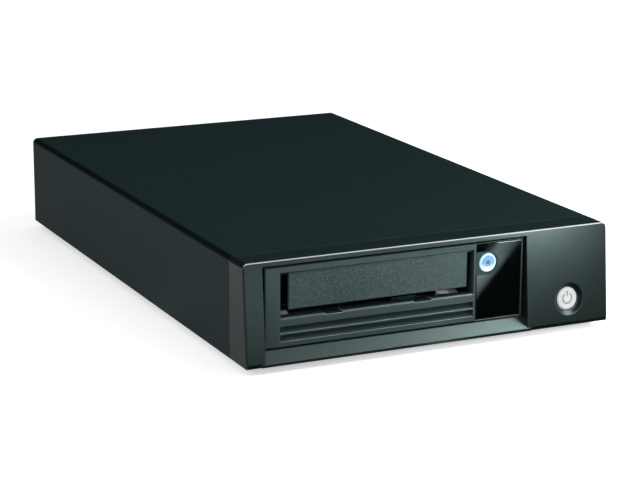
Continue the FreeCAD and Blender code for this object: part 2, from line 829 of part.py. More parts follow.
def make_fan_rotor():
    """Hub cup with a shaft, and blades twisted from root to tip."""
    z = fan_z()
    front = panel_y - fan_thickness
    cup_front = front + 2.6
    cup_back = panel_y - 2.0
    start = front + 0.6
    mouth = cup_front - start
    top = cup_back - start
    cup_wall = 1.2
    edge = 0.6
    hub = turned([(0, 0), (1.42, 0), (1.42, top - 1.5), (fan_hub_radius - cup_wall, top - 1.5),
                  (fan_hub_radius - cup_wall, mouth), (fan_hub_radius, mouth), (fan_hub_radius, top - edge),
                  (fan_hub_radius - edge, top), (0, top)], V(0, 0, 0))
    tip = fan_bore / 2 - fan_tip_gap
    thickness = 1.0
    blades = []
    for index in range(fan_blades):
        sections = []
        for radius, pitch in ((fan_hub_radius - 0.5, 38.0), (tip, 24.0)):
            chord = 12.0 if radius < fan_hub_radius else 15.0
            rise = chord / 2 * math.sin(math.radians(pitch))
            run = chord / 2 * math.cos(math.radians(pitch))
            middle = (mouth + top) / 2
            corners = [V(radius, -run, middle - rise), V(radius, run, middle + rise),
                       V(radius, run - thickness * 0.4, middle + rise + thickness),
                       V(radius, -run - thickness * 0.4, middle - rise + thickness)]
            sections.append(Part.makePolygon(corners + corners[:1]))
        blade_solid = Part.makeLoft(sections, True, True)
        blades.append(blade_solid.rotated(V(0, 0, 0), Z, 360.0 / fan_blades * index))
    rotor = fused(hub, *blades)
    ring_limit = rod(tip, 40, V(0, 0, -10))
    rotor = rotor.common(ring_limit)
    rotor.Placement = FreeCAD.Placement(V(fan_middle, start, z), FreeCAD.Rotation(Z, Y))
    return rotor


def supply_board_box():
    right = half_width - supply_board_side
    back = panel_y - inlet_depth - supply_back_room
    return right - supply_board_width, right, back - supply_board_length, back


def supply_board_corners():
    left, right, front, back = supply_board_box()
    return [V(x, y, 0) for x in (left + supply_inset, right - supply_inset)
            for y in (front + supply_inset, back - supply_inset)]


def make_supply_board():
    left, right, front, back = supply_board_box()
    low = tray_z + sheet + supply_standoff
    board = block(left, right, front, back, low, low + board_thickness)
    board = cut(board, *[rod(screw_hole, 5, V(p.x, p.y, low - 1)) for p in supply_board_corners()])
    return group([board] + supply_capacitors())


def supply_top():
    return tray_z + sheet + supply_standoff + board_thickness


def make_supply_heat_sinks():
    left, right, front, back = supply_board_box()
    low = supply_top()
    start = (front + back - sink_length) / 2
    sinks = []
    for x in (left + slip + 2 * sheet, right - fin_reach - 2 * sheet):
        base = block(x, x + sink_sheet, start, start + sink_length, low, low + sink_height)
        fins = []
        for index in range(fin_count):
            z = low + fin_pitch * (index + 1)
            fins.append(block(x, x + fin_reach, start, start + sink_length, z, z + fin_sheet))
        sinks.append(fused(base, *fins))
    return group(sinks)


def make_supply_transformer():
    """Core with a round middle leg, and the winding round that leg."""
    left, right, front, back = supply_board_box()
    x = (left + right) / 2
    y = (front + back) / 2
    low = supply_top()
    half = core_width / 2
    leg_radius = core_depth / 4
    core = block(x - half, x + half, y - core_depth / 2, y + core_depth / 2, low, low + core_height)
    core = core.cut(block(x - half + core_leg, x + half - core_leg, y - core_depth, y + core_depth,
                          low + core_leg, low + core_height - core_leg))
    core = fused(core, rod(leg_radius, core_height - core_leg, V(x, y, low + core_leg / 2)))
    outer = half - core_leg - winding_gap
    foot = core_leg + winding_gap
    head = core_height - core_leg - winding_gap
    inner = leg_radius + winding_gap
    winding = turned([(inner, foot), (outer, foot), (outer, head), (inner, head)], V(x, y, low))
    return group([core, winding])


def supply_capacitors():
    left, right, front, back = supply_board_box()
    x = (left + right) / 2
    y = front + filter_front
    return [can(x, back - capacitor_back, capacitor_radius, capacitor_height),
            can(x - filter_pitch / 2, y, filter_radius, filter_height),
            can(x + filter_pitch / 2, y, filter_radius, filter_height)]


def can(x, y, radius, tall):
    profile = [(0, 0), (radius, 0), (radius, tall - can_edge), (radius - can_edge, tall), (0, tall)]
    return turned(profile, V(x, y, supply_top()))


def drive_side_x(side):
    return drive_x + side * body_half


def bracket_span():
    front = drive_y + bracket_setback
    return front, front + bracket_length


def bracket_side_places(side):
    front, back = bracket_span()
    x = drive_side_x(side) + side * bracket_sheet
    return [V(x, y, drive_z + bracket_screw_rise)
            for y in (front + bracket_screw_end, back - bracket_screw_end)]


def bracket_foot_places():
    front, back = bracket_span()
    places = []
    for side in (-1, 1):
        x = drive_side_x(side) + side * (bracket_foot * 0.6)
        places += [V(x, y, tray_z + sheet + bracket_sheet)
                   for y in (front + bracket_foot_end, back - bracket_foot_end)]
    return places


def make_bracket(side):
    """L-shaped bracket that carries one side of the drive on the tray."""
    front, back = bracket_span()
    inner = drive_side_x(side)
    low = tray_z + sheet
    web = block(min(inner, inner + side * bracket_sheet), max(inner, inner + side * bracket_sheet),
                front, back, low, low + bracket_height)
    foot = block(min(inner, inner + side * bracket_foot), max(inner, inner + side * bracket_foot),
                 front, back, low, low + bracket_sheet)
    bracket = fused(web, foot)
    bracket = fillet(bracket, 4.0, lambda edge: is_line_along(edge, X)
                     and edge.BoundBox.ZMin > low + bracket_height - 0.1)
    reach = 2 * bracket_sheet
    tools = [rod(screw_hole, 2 * reach, p - X * reach, X) for p in bracket_side_places(side)]
    tools += [rod(screw_hole, 2 * reach, p - Z * reach) for p in bracket_foot_places()]
    return cut(bracket, *tools)


# Drive module, from its bezel's middle foot and face

def make_drive_bezel():
    half = drive_bezel_width / 2
    face = block(-half, half, 0, drive_bezel_depth, 0, drive_bezel_height)
    face = fillet(face, 0.7, lambda edge: edge.BoundBox.YMax < 0.01)
    hollow = block(-half + bezel_skin, half - bezel_skin, bezel_skin, drive_bezel_depth + 1,
                   bezel_skin, drive_bezel_height - bezel_skin)
    face = face.cut(hollow)
    left = slot_x - slot_width / 2
    right = slot_x + slot_width / 2
    frame_back = 6.0
    sleeve = block(left - 1.4, right + 1.4, 0.5, frame_back, louvre_tops[0] - 0.4, slot_top + 1.4)
    louvre_block = block(left - 1.4, right + 1.4, 0.5, louvre_depth + 0.8, 0.5, louvre_tops[0])
    backing = block(gloss_left - 0.6, half - 0.5, 0.5, gloss_thickness + bezel_skin,
                    0.5, drive_bezel_height - 0.5)
    face = fused(face, sleeve, louvre_block, backing)
    slot = [(left, slot_sill), (right, slot_sill), (right, slot_top), (left, slot_top)]
    lead = prism_x([(-1, slot_sill + 1), (-1, slot_sill - slot_chamfer - 1),
                    (slot_chamfer + 1, slot_sill + 1)], left, right)
    tools = [prism_y(slot, -1, drive_bezel_depth + 1), lead]
    for top in louvre_tops:
        groove = [(-1, top), (louvre_depth + 2, top), (louvre_depth + 2, top - louvre_throat),
                  (louvre_depth, top - louvre_throat), (0, top - louvre_mouth), (-1, top - louvre_mouth)]
        tools.append(prism_x(groove, left, right))
    for side in (-1, 1):
        x = slot_x + side * sill_notch_reach
        tools.append(block(x - sill_notch_width / 2, x + sill_notch_width / 2, -1, frame_back + 1,
                           slot_sill - sill_notch_depth, slot_sill + 1))
    tools.append(block(gloss_left - part_gap, gloss_right + part_gap, -1, gloss_thickness,
                       gloss_edge - part_gap, gloss_top + part_gap))
    tools.append(rod(button_radius + button_gap, 12, V(button_x, -1, button_z), Y))
    tools += [rod(pipe_radius + part_gap, 12, V(x, -1, z), Y) for x, z in light_places()]
    hinge_y, hinge_z = hinge_line()
    tools.append(rod(barrel_radius + barrel_pocket, slot_width, V(left, hinge_y, hinge_z), X))
    tools.append(rod(hinge_pin_radius + pin_clearance / 2, slot_width + 2.4,
                     V(left - 1.2, hinge_y, hinge_z), X))
    return cut(face, *tools)


def light_places():
    x = (button_x + gloss_right) / 2 + 2.5
    return [(x, gloss_edge + pipe_foot + pipe_pitch * i) for i in range(pipe_count)]


def hinge_line():
    return door_recess + 0.9, slot_top - barrel_radius


def make_hinge_pin():
    hinge_y, hinge_z = hinge_line()
    return rod(hinge_pin_radius, slot_width + 2.2, V(slot_x - slot_width / 2 - 1.1, hinge_y, hinge_z), X)


def make_cartridge_door():
    hinge_y, hinge_z = hinge_line()
    left = door_left
    right = door_left + door_width
    foot = slot_sill + door_gap
    leaf = block(left, right, door_recess, door_recess + door_thickness, foot, hinge_z)
    leaf = fillet(leaf, 0.4, lambda edge: edge.BoundBox.YMax < door_recess + 0.01
                  and edge.BoundBox.ZMin < hinge_z - 1)
    barrel = rod(barrel_radius, door_width, V(left, hinge_y, hinge_z), X)
    back = door_recess + door_thickness
    pitch = (door_width - 5 * door_rib_width) / (door_rib_count - 1)
    ribs = []
    for index in range(door_rib_count):
        x = left + 2 * door_rib_width + index * pitch
        ribs.append(block(x, x + door_rib_width, back, back + door_rib_depth, foot + 2, hinge_z - 7))
    door = fused(leaf, barrel, *ribs)
    return door.cut(rod(hinge_pin_radius + pin_clearance, door_width + 2, V(left - 1, hinge_y, hinge_z), X))


def make_gloss_panel():
    panel = block(gloss_left, gloss_right, 0.0, gloss_thickness - part_gap / 2, gloss_edge, gloss_top)
    panel = fillet(panel, 0.5, lambda edge: edge.BoundBox.YMax < 0.01)
    hole = rod(button_radius + button_gap, 6, V(button_x, -1, button_z), Y)
    return cut(panel, surround_solid(part_gap / 2, 3.0), hole)


def surround_solid(grow, depth):
    radius = tab_radius + grow
    bar = block(gloss_left - 1.0, button_x, -0.01, depth, button_z - radius, button_z + radius)
    end = rod(radius, depth + 0.01, V(button_x, -0.01, button_z), Y)
    return fused(bar, end)


def make_button_surround():
    radius = tab_radius
    thickness = gloss_thickness - part_gap / 2
    bar = block(gloss_left, button_x, 0, thickness, button_z - radius, button_z + radius)
    end = rod(radius, thickness, V(button_x, 0, button_z), Y)
    plate = fused(bar, end)
    return plate.cut(rod(button_radius + button_gap, 6, V(button_x, -1, button_z), Y))


def make_eject_button():
    stem = 1.8
    profile = [(0, 0), (button_radius - 0.7, 0.0), (button_radius, -0.6), (button_radius, -button_length + 2),
               (stem, -button_length + 2), (stem, -button_length), (0, -button_length)]
    return turned(profile, V(button_x, button_proud, button_z), V(0, -1, 0))


def make_light_pipes():
    return group([rod(pipe_radius, panel_board_y() - gloss_thickness, V(x, gloss_thickness, z), Y)
                  for x, z in light_places()])


def panel_board_y():
    return drive_bezel_depth + 1.2


def make_panel_board():
    """Small upright board that carries the eject switch and the lights."""
    y = panel_board_y()
    right = body_half - cast_wall - 2 * part_gap
    board = block(gloss_left, right, y, y + 1.2, board_z + board_thickness, body_top - 4)
    front = button_proud + button_length + button_travel + switch_gap
    switch = block(button_x - 3, button_x + 3, front, y, button_z - 3, button_z + 3)
    return group([board, switch, sensor_board()])


def sensor_board():
    """Low board that looks for a cartridge in the slot's mouth."""
    back = finger_back - finger_sheet - part_gap
    return block(*sensor_span, back - sensor_sheet, back, deck_top + 2 * part_gap, slot_sill)


def make_drive_base():
    """Cast tub, open at the front and top, with posts for the board and deck."""
    half = body_half
    top = body_top - lid_sheet
    tub = block(-half, half, body_front, drive_length, body_foot, top)
    inner = block(-half + cast_wall, half - cast_wall, body_front - 1, drive_length - cast_wall,
                  body_foot + cast_floor, top + 1)
    inner = fillet(inner, 2.0, lambda edge: is_line_along(edge, Z) and edge.BoundBox.YMin > body_front)
    tub = tub.cut(inner)
    step = [block(x, x + lid_sheet, body_front - 1, drive_length + 1, top - lid_skirt, top + 1)
            for x in (-half, half - lid_sheet)]
    step.append(block(-half, half, drive_length - lid_sheet, drive_length + 1, top - lid_skirt, top + 1))
    tub = cut(tub, *step)
    pocket_span = drive_length - body_front - 2 * pocket_margin + pocket_gap
    pocket_pitch = pocket_span / pocket_count
    pockets = []
    for side in (-1, 1):
        x = side * half
        for index in range(pocket_count):
            y = body_front + pocket_margin + index * pocket_pitch
            pockets.append(block(min(x, x - side * pocket_depth), max(x, x - side * pocket_depth),
                                 y, y + pocket_pitch - pocket_gap, 0.4 * top, 0.77 * top))
    tub = cut(tub, *pockets)
    posts = [rod(post_radius, deck_rise, V(x, y, body_foot + cast_floor)) for x, y in post_places()]
    posts += [rod(2.2, board_rise, V(x, y, body_foot + cast_floor)) for x, y in board_post_places()]
    x, y = dowel_place()
    tub = fused(tub, rod(screw_radius, deck_thickness, V(x, y, deck_z)), *posts)
    tools = [rod(screw_radius + 0.05, 6.0, V(x, y, deck_z - 5.0)) for x, y in screw_post_places()]
    for side in (-1, 1):
        for place in bracket_side_places(side):
            local = place - V(drive_x, drive_y, drive_z)
            tools.append(rod(screw_hole, 8.0, V(local.x - 4.0, local.y, local.z), X))
    left, right, low, high = rear_plug_box()
    tools.append(block(left - part_gap, right + part_gap, drive_length - 2 * cast_wall, drive_length + 1,
                       low - part_gap, high + part_gap))
    return cut(tub, *tools)


def dowel_place():
    """Front left post, under the loader: its dowel ends flush with the deck."""
    return -(body_half - cast_wall - post_radius), deck_front + 6


def screw_post_places():
    x = body_half - cast_wall - post_radius
    back = [(side * x, y) for side in (-1, 1) for y in (deck_middle, drive_length - 12)]
    return [(x, deck_front + 6)] + back


def post_places():
    return [dowel_place()] + screw_post_places()


def board_post_places():
    x = body_half - cast_wall - 14
    return [(side * x, y) for side in (-1, 1) for y in (deck_front + 6, deck_middle - 22, drive_length - 25)]


def make_drive_lid():
    half = body_half
    top = body_top
    lid = block(-half, half, body_front, drive_length, top - lid_sheet, top)
    skirts = [block(-half, -half + lid_sheet, body_front, drive_length, top - lid_skirt, top),
              block(half - lid_sheet, half, body_front, drive_length, top - lid_skirt, top),
              block(-half, half, drive_length - lid_sheet, drive_length, top - lid_skirt, top)]
    return fused(lid, *skirts)


def rear_plug_box():
    left = -plug_from_middle - plug_width / 2
    low = board_z + board_thickness
    return left, left + plug_width, low, low + plug_height


def make_drive_board():
    half = body_half - cast_wall - 0.6
    low = board_z
    board = block(-half, half, body_front + 0.6, drive_length - cast_wall - 0.6, low, low + board_thickness)
    holes = [rod(post_radius + 0.3, 4, V(x, y, low - 1)) for x, y in post_places()]
    return group([cut(board, *holes)] + board_chips())


def board_chips():
    top = board_z + board_thickness
    chips = []
    for across, along, size, tall in board_chip_places:
        x = across * body_half
        y = along * drive_length
        chips.append(block(x - size / 2, x + size / 2, y - size / 2, y + size / 2, top, top + tall))
    return chips


def make_rear_plug():
    left, right, low, high = rear_plug_box()
    body = block(left, right, drive_length - plug_length, drive_length, low, high)
    start = drive_length - plug_mouth
    mouth = block(left + plug_wall, right - plug_wall, start, drive_length + 1,
                  low + plug_wall, high - plug_wall)
    middle = (low + high) / 2
    tongue = block(left + 3 * plug_wall, right - 3 * plug_wall, start - 1, drive_length - plug_wall,
                   middle - plug_tongue / 2, middle + plug_tongue / 2)
    return fused(body.cut(mouth), tongue)


def make_deck():
    half = body_half - cast_wall - part_gap
    deck = block(-half, half, deck_front, drive_length - cast_wall - 2.0, deck_z, deck_top)
    deck = fillet(deck, 3.0, lambda edge: is_line_along(edge, Z))
    tools = [rod(screw_hole, 4, V(x, y, deck_z - 1)) for x, y in post_places()]
    left, right, low, high = rear_plug_box()
    tools.append(block(left - 2 * slip, right + 2 * slip, drive_length - plug_length - 2 * slip, drive_length,
                       deck_z - 1, deck_top + 1))
    return cut(deck, *tools)


def finger_profile(top, lip=True):
    """Side outline in (y, z): a foot under the deck, an upright, and the lip that slopes forward."""
    low = deck_z - part_gap - finger_sheet
    end = deck_front + finger_foot
    inner = finger_back - finger_sheet
    outline = [(end, low), (end, low + finger_sheet), (finger_back, low + finger_sheet), (finger_back, top)]
    if lip:
        outline += [(finger_front, top - finger_rise), (finger_front, top - finger_rise - finger_sheet),
                    (inner, top - finger_sheet - finger_rise * finger_sheet / (finger_back - finger_front))]
    else:
        outline.append((inner, top))
    return outline + [(inner, low)]


def make_slot_guides():
    """Bent steel fingers on the deck that guide a cartridge over the sill, and the sensor board's holder."""
    top = slot_sill + part_gap / 2
    solids = [prism_x(finger_profile(top), left, right) for left, right in finger_spans]
    holder = finger_profile(slot_sill - finger_sheet, False)
    solids.append(prism_x(holder, sensor_span[0] + 1, sensor_span[1] - 1))
    edge = finger_spans[0][0]
    foot = top - finger_rise - finger_sheet
    ear = prism_y([(edge, foot), (edge, foot + finger_sheet), (edge - ear_width, foot + ear_height),
                   (edge - ear_width, foot)], finger_front, finger_front + finger_sheet)
    return group([fused(solids[0], ear)] + solids[1:])


def make_deck_screws():
    return group([screw(V(x, y, deck_top)) for x, y in screw_post_places()])


def make_supply_motor():
    """Flat stator on the deck with a bearing bush in its middle."""
    centre = V(slot_x, supply_back, deck_top)
    plate = 2.4
    profile = [(spindle_radius, 0), (supply_stator_radius, 0), (supply_stator_radius, plate - 0.6),
               (supply_stator_radius - 0.6, plate), (spindle_radius, plate)]
    return turned(profile, centre)


def chuck_foot():
    return deck_top + 2.4 + 0.4


def make_supply_chuck():
    centre = V(slot_x, supply_back, 0)
    low = chuck_foot()
    top = tray_floor_top - 0.15
    disc = 1.0
    inner = chuck_radius * 0.66
    outer = chuck_radius * 0.9
    profile = [(0, deck_top + 0.3), (spindle_radius - running_gap, deck_top + 0.3),
               (spindle_radius - running_gap, low), (chuck_radius, low), (chuck_radius, low + disc),
               (outer, low + disc), (outer, top), (inner, top), (inner, low + disc), (5.0, low + disc),
               (5.0, top - 0.4), (4.2, top), (0, top)]
    chuck = turned(profile, centre)
    gap = block(inner - 0.5, outer + 0.5, -0.8, 0.8, low + disc, top + 1)
    gaps = [gap.rotated(V(0, 0, 0), Z, 360.0 * i / chuck_teeth).translated(centre)
            for i in range(chuck_teeth)]
    return cut(chuck, *gaps)


def reel_floor():
    return tape_z - tape_height / 2 - reel_flange


def make_take_up_motor():
    centre = V(slot_x, reel_back, deck_top)
    tall = reel_floor() - deck_top - 0.5
    radius = reel_radius * 0.55
    profile = [(spindle_radius, 0), (radius, 0), (radius, tall - 1.0), (radius - 1.0, tall),
               (spindle_radius, tall)]
    return turned(profile, centre)


def make_take_up_reel():
    """Two pierced flanges on a hub, with the leader's notch in the hub."""
    centre = V(slot_x, reel_back, 0)
    low = reel_floor()
    high = tape_z + tape_height / 2
    spindle = spindle_radius - running_gap
    profile = [(0, deck_top + 0.3), (spindle, deck_top + 0.3), (spindle, low), (reel_radius, low),
               (reel_radius, low + reel_flange), (reel_hub_radius, low + reel_flange),
               (reel_hub_radius, high), (reel_radius, high), (reel_radius, high + reel_flange),
               (0, high + reel_flange)]
    reel = turned(profile, centre)
    tools = []
    windows = 5
    for i in range(windows):
        outer = rod(reel_radius - 5, 40, V(0, 0, low - 5))
        inner = rod(reel_hub_radius + 4, 40, V(0, 0, low - 5))
        wedge_half = reel_radius * math.tan(math.radians(22))
        wedge = prism_z([(0, 0), (reel_radius, -wedge_half), (reel_radius, wedge_half)], low - 5, high + 10)
        window = outer.common(wedge).cut(inner)
        tools.append(window.rotated(V(0, 0, 0), Z, 360.0 / windows * i).translated(centre))
    notch = block(reel_hub_radius - 6, reel_hub_radius + 1, -2.5, 2.5, low + reel_flange + 1, high - 1)
    tools.append(notch.rotated(V(0, 0, 0), Z, 36).translated(centre))
    return cut(reel, *tools)


def roller_span():
    half = tape_height / 2 + 1.0
    return tape_z - half, tape_z + half


def make_roller_posts():
    low, high = roller_span()
    rest = 0.3
    cap = high + rest
    profile = [(0, deck_top), (2.6, deck_top), (2.6, low - rest), (roller_pin_radius, low - rest),
               (roller_pin_radius, cap), (2.4, cap), (2.4, cap + 0.8), (0, cap + 0.8)]
    post = turned(profile, V(0, 0, 0))
    return group(copies(post, [V(x, y, 0) for x, y in roller_places]))


def make_guide_roller(place):
    low, high = roller_span()
    rim = 1.0
    profile = [(roller_pin_radius + running_gap, low), (roller_rim, low), (roller_rim, low + rim * 0.6),
               (roller_radius, low + rim), (roller_radius, high - rim), (roller_rim, high - rim * 0.6),
               (roller_rim, high), (roller_pin_radius + running_gap, high)]
    return turned(profile, V(place[0], place[1], 0))


def head_levels():
    foot = deck_top
    low = tape_z - carriage_height / 2
    bridge = tape_z + carriage_height / 2 + head_travel + 1.6
    return foot, foot + 2.4, low, bridge


def head_pin_places():
    x, y = head_place
    return [V(x, y - head_pin_pitch / 2, 0), V(x, y + head_pin_pitch / 2, 0)]


def make_head_frame():
    """Base on the deck with two upright guide pins pressed into it."""
    x, y = head_place
    foot, top, low, bridge = head_levels()
    base = block(x - 5.0, x + 3.2, y - 7.5, y + 7.5, foot, top)
    base = fillet(base, 1.2, lambda edge: is_line_along(edge, Z))
    base = base.cut(rod(head_screw_radius + running_gap, 3, V(x, y, top - 1.4)))
    return fused(base, *[rod(head_pin_radius, bridge - top, p + Z * top) for p in head_pin_places()])


def make_head_bridge():
    x, y = head_place
    bridge = head_levels()[3]
    plate = block(x - 5.0, x + 3.8, y - 7.5, y + 7.5, bridge, bridge + 1.4)
    plate = fillet(plate, 1.2, lambda edge: is_line_along(edge, Z))
    return plate.cut(rod(head_screw_radius + running_gap, 4, V(x, y, bridge - 1)))


def make_head_motor():
    x, y = head_place
    bridge = head_levels()[3]
    tall = body_top - lid_sheet - 0.6 - bridge - 1.4
    profile = [(head_screw_radius + running_gap, 0), (3.8, 0), (3.8, tall - 0.6), (3.2, tall),
               (head_screw_radius + running_gap, tall)]
    return turned(profile, V(x, y, bridge + 1.4))


def make_head_screw():
    x, y = head_place
    foot, top, low, bridge = head_levels()
    return rod(head_screw_radius, bridge + 4.0 - top + 1.0, V(x, y, top - 1.0))


def make_head_carriage():
    x, y = head_place
    low = head_levels()[2]
    body = block(x - 3.6, x + 3.0, y - 6.8, y + 6.8, low, low + carriage_height)
    body = fillet(body, 1.0, lambda edge: is_line_along(edge, Z))
    tools = [rod(head_pin_radius + running_gap, 30, p + Z * (low - 5)) for p in head_pin_places()]
    tools.append(rod(head_screw_radius + running_gap, 30, V(x, y, low - 5)))
    return cut(body, *tools)


def make_tape_head():
    x, y = head_place
    low = head_levels()[2]
    face = x - 6.6
    outline = [(x - 3.6, y - 4.0), (face + 0.8, y - 4.0), (face, y - 2.6), (face, y + 2.6),
               (face + 0.8, y + 4.0), (x - 3.6, y + 4.0)]
    head = prism_z(outline, low + 0.5, low + carriage_height - 0.5)
    groove = block(face - 1, face + 0.6, y - 0.4, y + 0.4, low, low + carriage_height)
    return head.cut(groove)


# Loader

def tray_sides():
    return slot_x - bay_half, slot_x + bay_half


def stud_rows():
    return tray_front + stud_ends, tray_front + tray_length - stud_ends


def make_cartridge_tray():
    """Bent sheet tray with studs that ride in the cam plates."""
    left, right = tray_sides()
    back = tray_front + tray_length
    high = slot_sill + cartridge_rise + cartridge_height + 0.5
    floor = block(left - loader_sheet, right + loader_sheet, tray_front, back, tray_floor, tray_floor_top)
    walls = [block(x, x + loader_sheet, tray_front, back, tray_floor, high + loader_sheet)
             for x in (left - loader_sheet, right)]
    lips = [block(left - loader_sheet, left + tray_lip, tray_front, back, high, high + loader_sheet),
            block(right - tray_lip, right + loader_sheet, tray_front, back, high, high + loader_sheet)]
    stop = block(left + stop_from_left, right - stop_from_right, back - loader_sheet, back,
                 tray_floor, tray_floor_top + stop_height)
    studs = []
    for y in stud_rows():
        studs.append(rod(stud_radius, stud_reach, V(right + loader_sheet, y, stud_z), X))
        studs.append(rod(stud_radius, stud_reach, V(left - loader_sheet - stud_reach, y, stud_z), X))
    tray = fused(floor, stop, *walls, *lips, *studs)
    hole = rod(chuck_hole, 4, V(slot_x, supply_back, tray_floor - 1))
    start = tray_front + relief_front
    reliefs = [block(x, x + relief_width, start, start + relief_length, tray_floor - 1, tray_floor_top + 1)
               for x in (left + relief_edge, right - relief_edge - relief_width)]
    return cut(tray, hole, *reliefs)


def cam_face(side):
    """Inner face of the cam plate on one side, and the way out from it."""
    left, right = tray_sides()
    edge = right + loader_sheet if side > 0 else left - loader_sheet
    return edge + side * cam_gap


def plate_at(inner, side, thickness, y0, y1, z0, z1):
    outer = inner + side * thickness
    return block(min(inner, outer), max(inner, outer), y0, y1, z0, z1)


def cam_slot(side, y):
    """Slanted slot: the stud starts at its top and ends a drop lower and a travel forward."""
    travel = tray_drop * cam_ratio
    radius = stud_radius + running_gap
    reach = 3.0
    start = V(cam_face(side) - reach, y, stud_z)
    end = V(cam_face(side) - reach, y - travel, stud_z - tray_drop)
    along = (end - start).normalize()
    across = V(0, -along.z, along.y) * radius
    bar = prism([start + across, end + across, end - across, start - across], X * 2 * reach)
    return fused(bar, rod(radius, 2 * reach, start, X), rod(radius, 2 * reach, end, X))


def link_span():
    """Front and back of the cross bar, clear of the tray over the whole travel."""
    back = tray_front - tray_drop * cam_ratio - slip
    return back - link_depth, back


def make_cam_plate(side):
    """Plate with a slanted slot for each stud and an arm down to the cross bar."""
    inner = cam_face(side)
    front, back = stud_rows()
    top = cam_foot + cam_height
    link_front, link_back = link_span()
    plate = plate_at(inner, side, cam_sheet, link_front, back + 6, cam_foot, top)
    arm = plate_at(inner, side, cam_sheet, link_front, link_back, link_foot(), top)
    plate = fused(plate, arm)
    plate = fillet(plate, 1.5, lambda edge: is_line_along(edge, X))
    plate = cut(plate, *[cam_slot(side, y) for y in stud_rows()])
    if side > 0:
        plate = fused(plate, rack_bar(inner))
    return plate


def rack_bar(inner):
    """Rack on the cam plate's lower edge, its teeth pointing down."""
    pitch = math.pi * rack_module
    slope = math.tan(math.radians(pressure_angle))
    tip = rack_line - rack_module
    root = rack_line + 1.25 * rack_module
    half_pitch_line = pitch / 4 - backlash / 2
    at_tip = half_pitch_line - rack_module * slope
    at_root = half_pitch_line + 1.25 * rack_module * slope
    outline = []
    first = gear_y + pitch / 2 - pitch * (rack_teeth // 2 + 1)
    for tooth in range(rack_teeth):
        middle = first + tooth * pitch
        outline += [(middle - at_root, root), (middle - at_tip, tip),
                    (middle + at_tip, tip), (middle + at_root, root)]
    last = first + (rack_teeth - 1) * pitch
    end = last + at_root + 1
    start = first - at_root - 1
    outline += [(end, root), (end, root + 1.0), (start, root + 1.0), (start, root)]
    return prism_x(outline, inner, inner + cam_sheet)


def link_foot():
    return deck_top + 2 * part_gap


def make_cam_link():
    """Cross bar that ties both cam plates in front of the tray."""
    front, back = link_span()
    low = link_foot() + 0.5
    return block(cam_face(-1), cam_face(1), front, back, low, low + link_height)


def guide_face(side):
    return cam_face(side) + side * (cam_sheet + 0.4)


def make_loader_guide(side):
    """Upright guide on the deck with a vertical slot for each stud."""
    inner = guide_face(side)
    front, back = stud_rows()
    plate = plate_at(inner, side, guide_sheet, front - 8, back + 8, deck_top, deck_top + guide_height)
    plate = fillet(plate, 3.0, lambda edge: is_line_along(edge, X)
                   and edge.BoundBox.ZMin > deck_top + 5)
    tools = []
    radius = stud_radius + running_gap
    for y in stud_rows():
        low = V(inner - 3, y, stud_z - tray_drop)
        slot = fused(rod(radius, 6, low, X), rod(radius, 6, low + Z * tray_drop, X),
                     block(low.x, low.x + 6, y - radius, y + radius, low.z, low.z + tray_drop))
        tools.append(slot)
    middle = (front + back) / 2
    if side > 0:
        tools.append(rod(rack_pitch_radius + rack_module + 0.6, 8, V(inner - 3, gear_y, gear_z), X))
    else:
        tools.append(block(inner - 3, inner + 3, middle - 20, middle + 20, deck_top + 4, deck_top + 16))
    return cut(plate, *tools)


def gear_plane():
    return guide_face(1) + guide_sheet + 0.5


def make_loader_gear():
    """Large wheel outside the guide with a long pinion that reaches the rack."""
    start = cam_face(1) - 0.1
    plane = gear_plane()
    bore = axle_radius + running_gap
    pinion = gear(pinion_teeth, rack_module, plane - start + 0.2, bore, V(start, gear_y, gear_z), 0.0)
    wheel = gear(gear_teeth, gear_module, gear_width, bore, V(plane, gear_y, gear_z), 0.0)
    return fused(pinion, wheel)


def motor_line():
    return gear_y + gear_reach, gear_z


def make_motor_pinion():
    y, z = motor_line()
    plane = gear_plane()
    turn = mesh_phase()
    pinion = gear(motor_teeth, gear_module, gear_width, 0.4, V(plane, y, z), turn)
    shaft = rod(motor_shaft_radius, gear_width + 3.0, V(plane, y, z), X)
    return fused(pinion, shaft)


def mesh_phase():
    """Turn of the motor pinion that puts its gap on the wheel's tooth along the line of centres."""
    toward = -90.0
    tooth_angle = 360.0 / gear_teeth
    wheel_offset = math.fmod(toward, tooth_angle)
    gap = 180.0 / motor_teeth
    return 90.0 + gap + wheel_offset * gear_teeth / motor_teeth


def make_loader_motor():
    y, z = motor_line()
    start = motor_wall() + 1.2
    length = loader_motor_length
    edge = 0.8
    bore = motor_shaft_radius + running_gap
    profile = [(bore, 0), (loader_motor_radius, 0), (loader_motor_radius, length - edge),
               (loader_motor_radius - edge, length), (0, length),
               (0, motor_bore_depth), (bore, motor_bore_depth)]
    return turned(profile, V(start, y, z), X)


def motor_wall():
    return gear_plane() + gear_width + 0.5


def make_motor_bracket():
    """Upright on the deck that holds the loader motor by its end."""
    y, z = motor_line()
    start = motor_wall()
    web = block(start, start + 1.2, y - 8, y + 8, deck_top, z + 7)
    web = fillet(web, 4.0, lambda edge: is_line_along(edge, X) and edge.BoundBox.ZMin > deck_top + 5)
    foot = block(start, start + 8, y - 8, y + 8, deck_top, deck_top + 1.0)
    bracket = fused(web, foot)
    return cut(bracket, rod(motor_shaft_radius + running_gap, 4, V(start - 1, y, z), X),
               rod(loader_motor_radius + 0.3, 12, V(start + 1.2, y, z), X))


def make_gear_axle():
    """Post on the deck with the loader gear's axle pressed into it."""
    tip = cam_face(1) - 0.1
    start = gear_plane() + gear_width + 0.3
    post = block(start, start + 4.0, gear_y - 5.0, gear_y + axle_radius, deck_top, gear_z + 2.4)
    return fused(post, rod(axle_radius, start + 4.0 - tip, V(tip, gear_y, gear_z), X))


# Small parts in the case

def switch_board_y():
    return bezel_back - switch_board_back


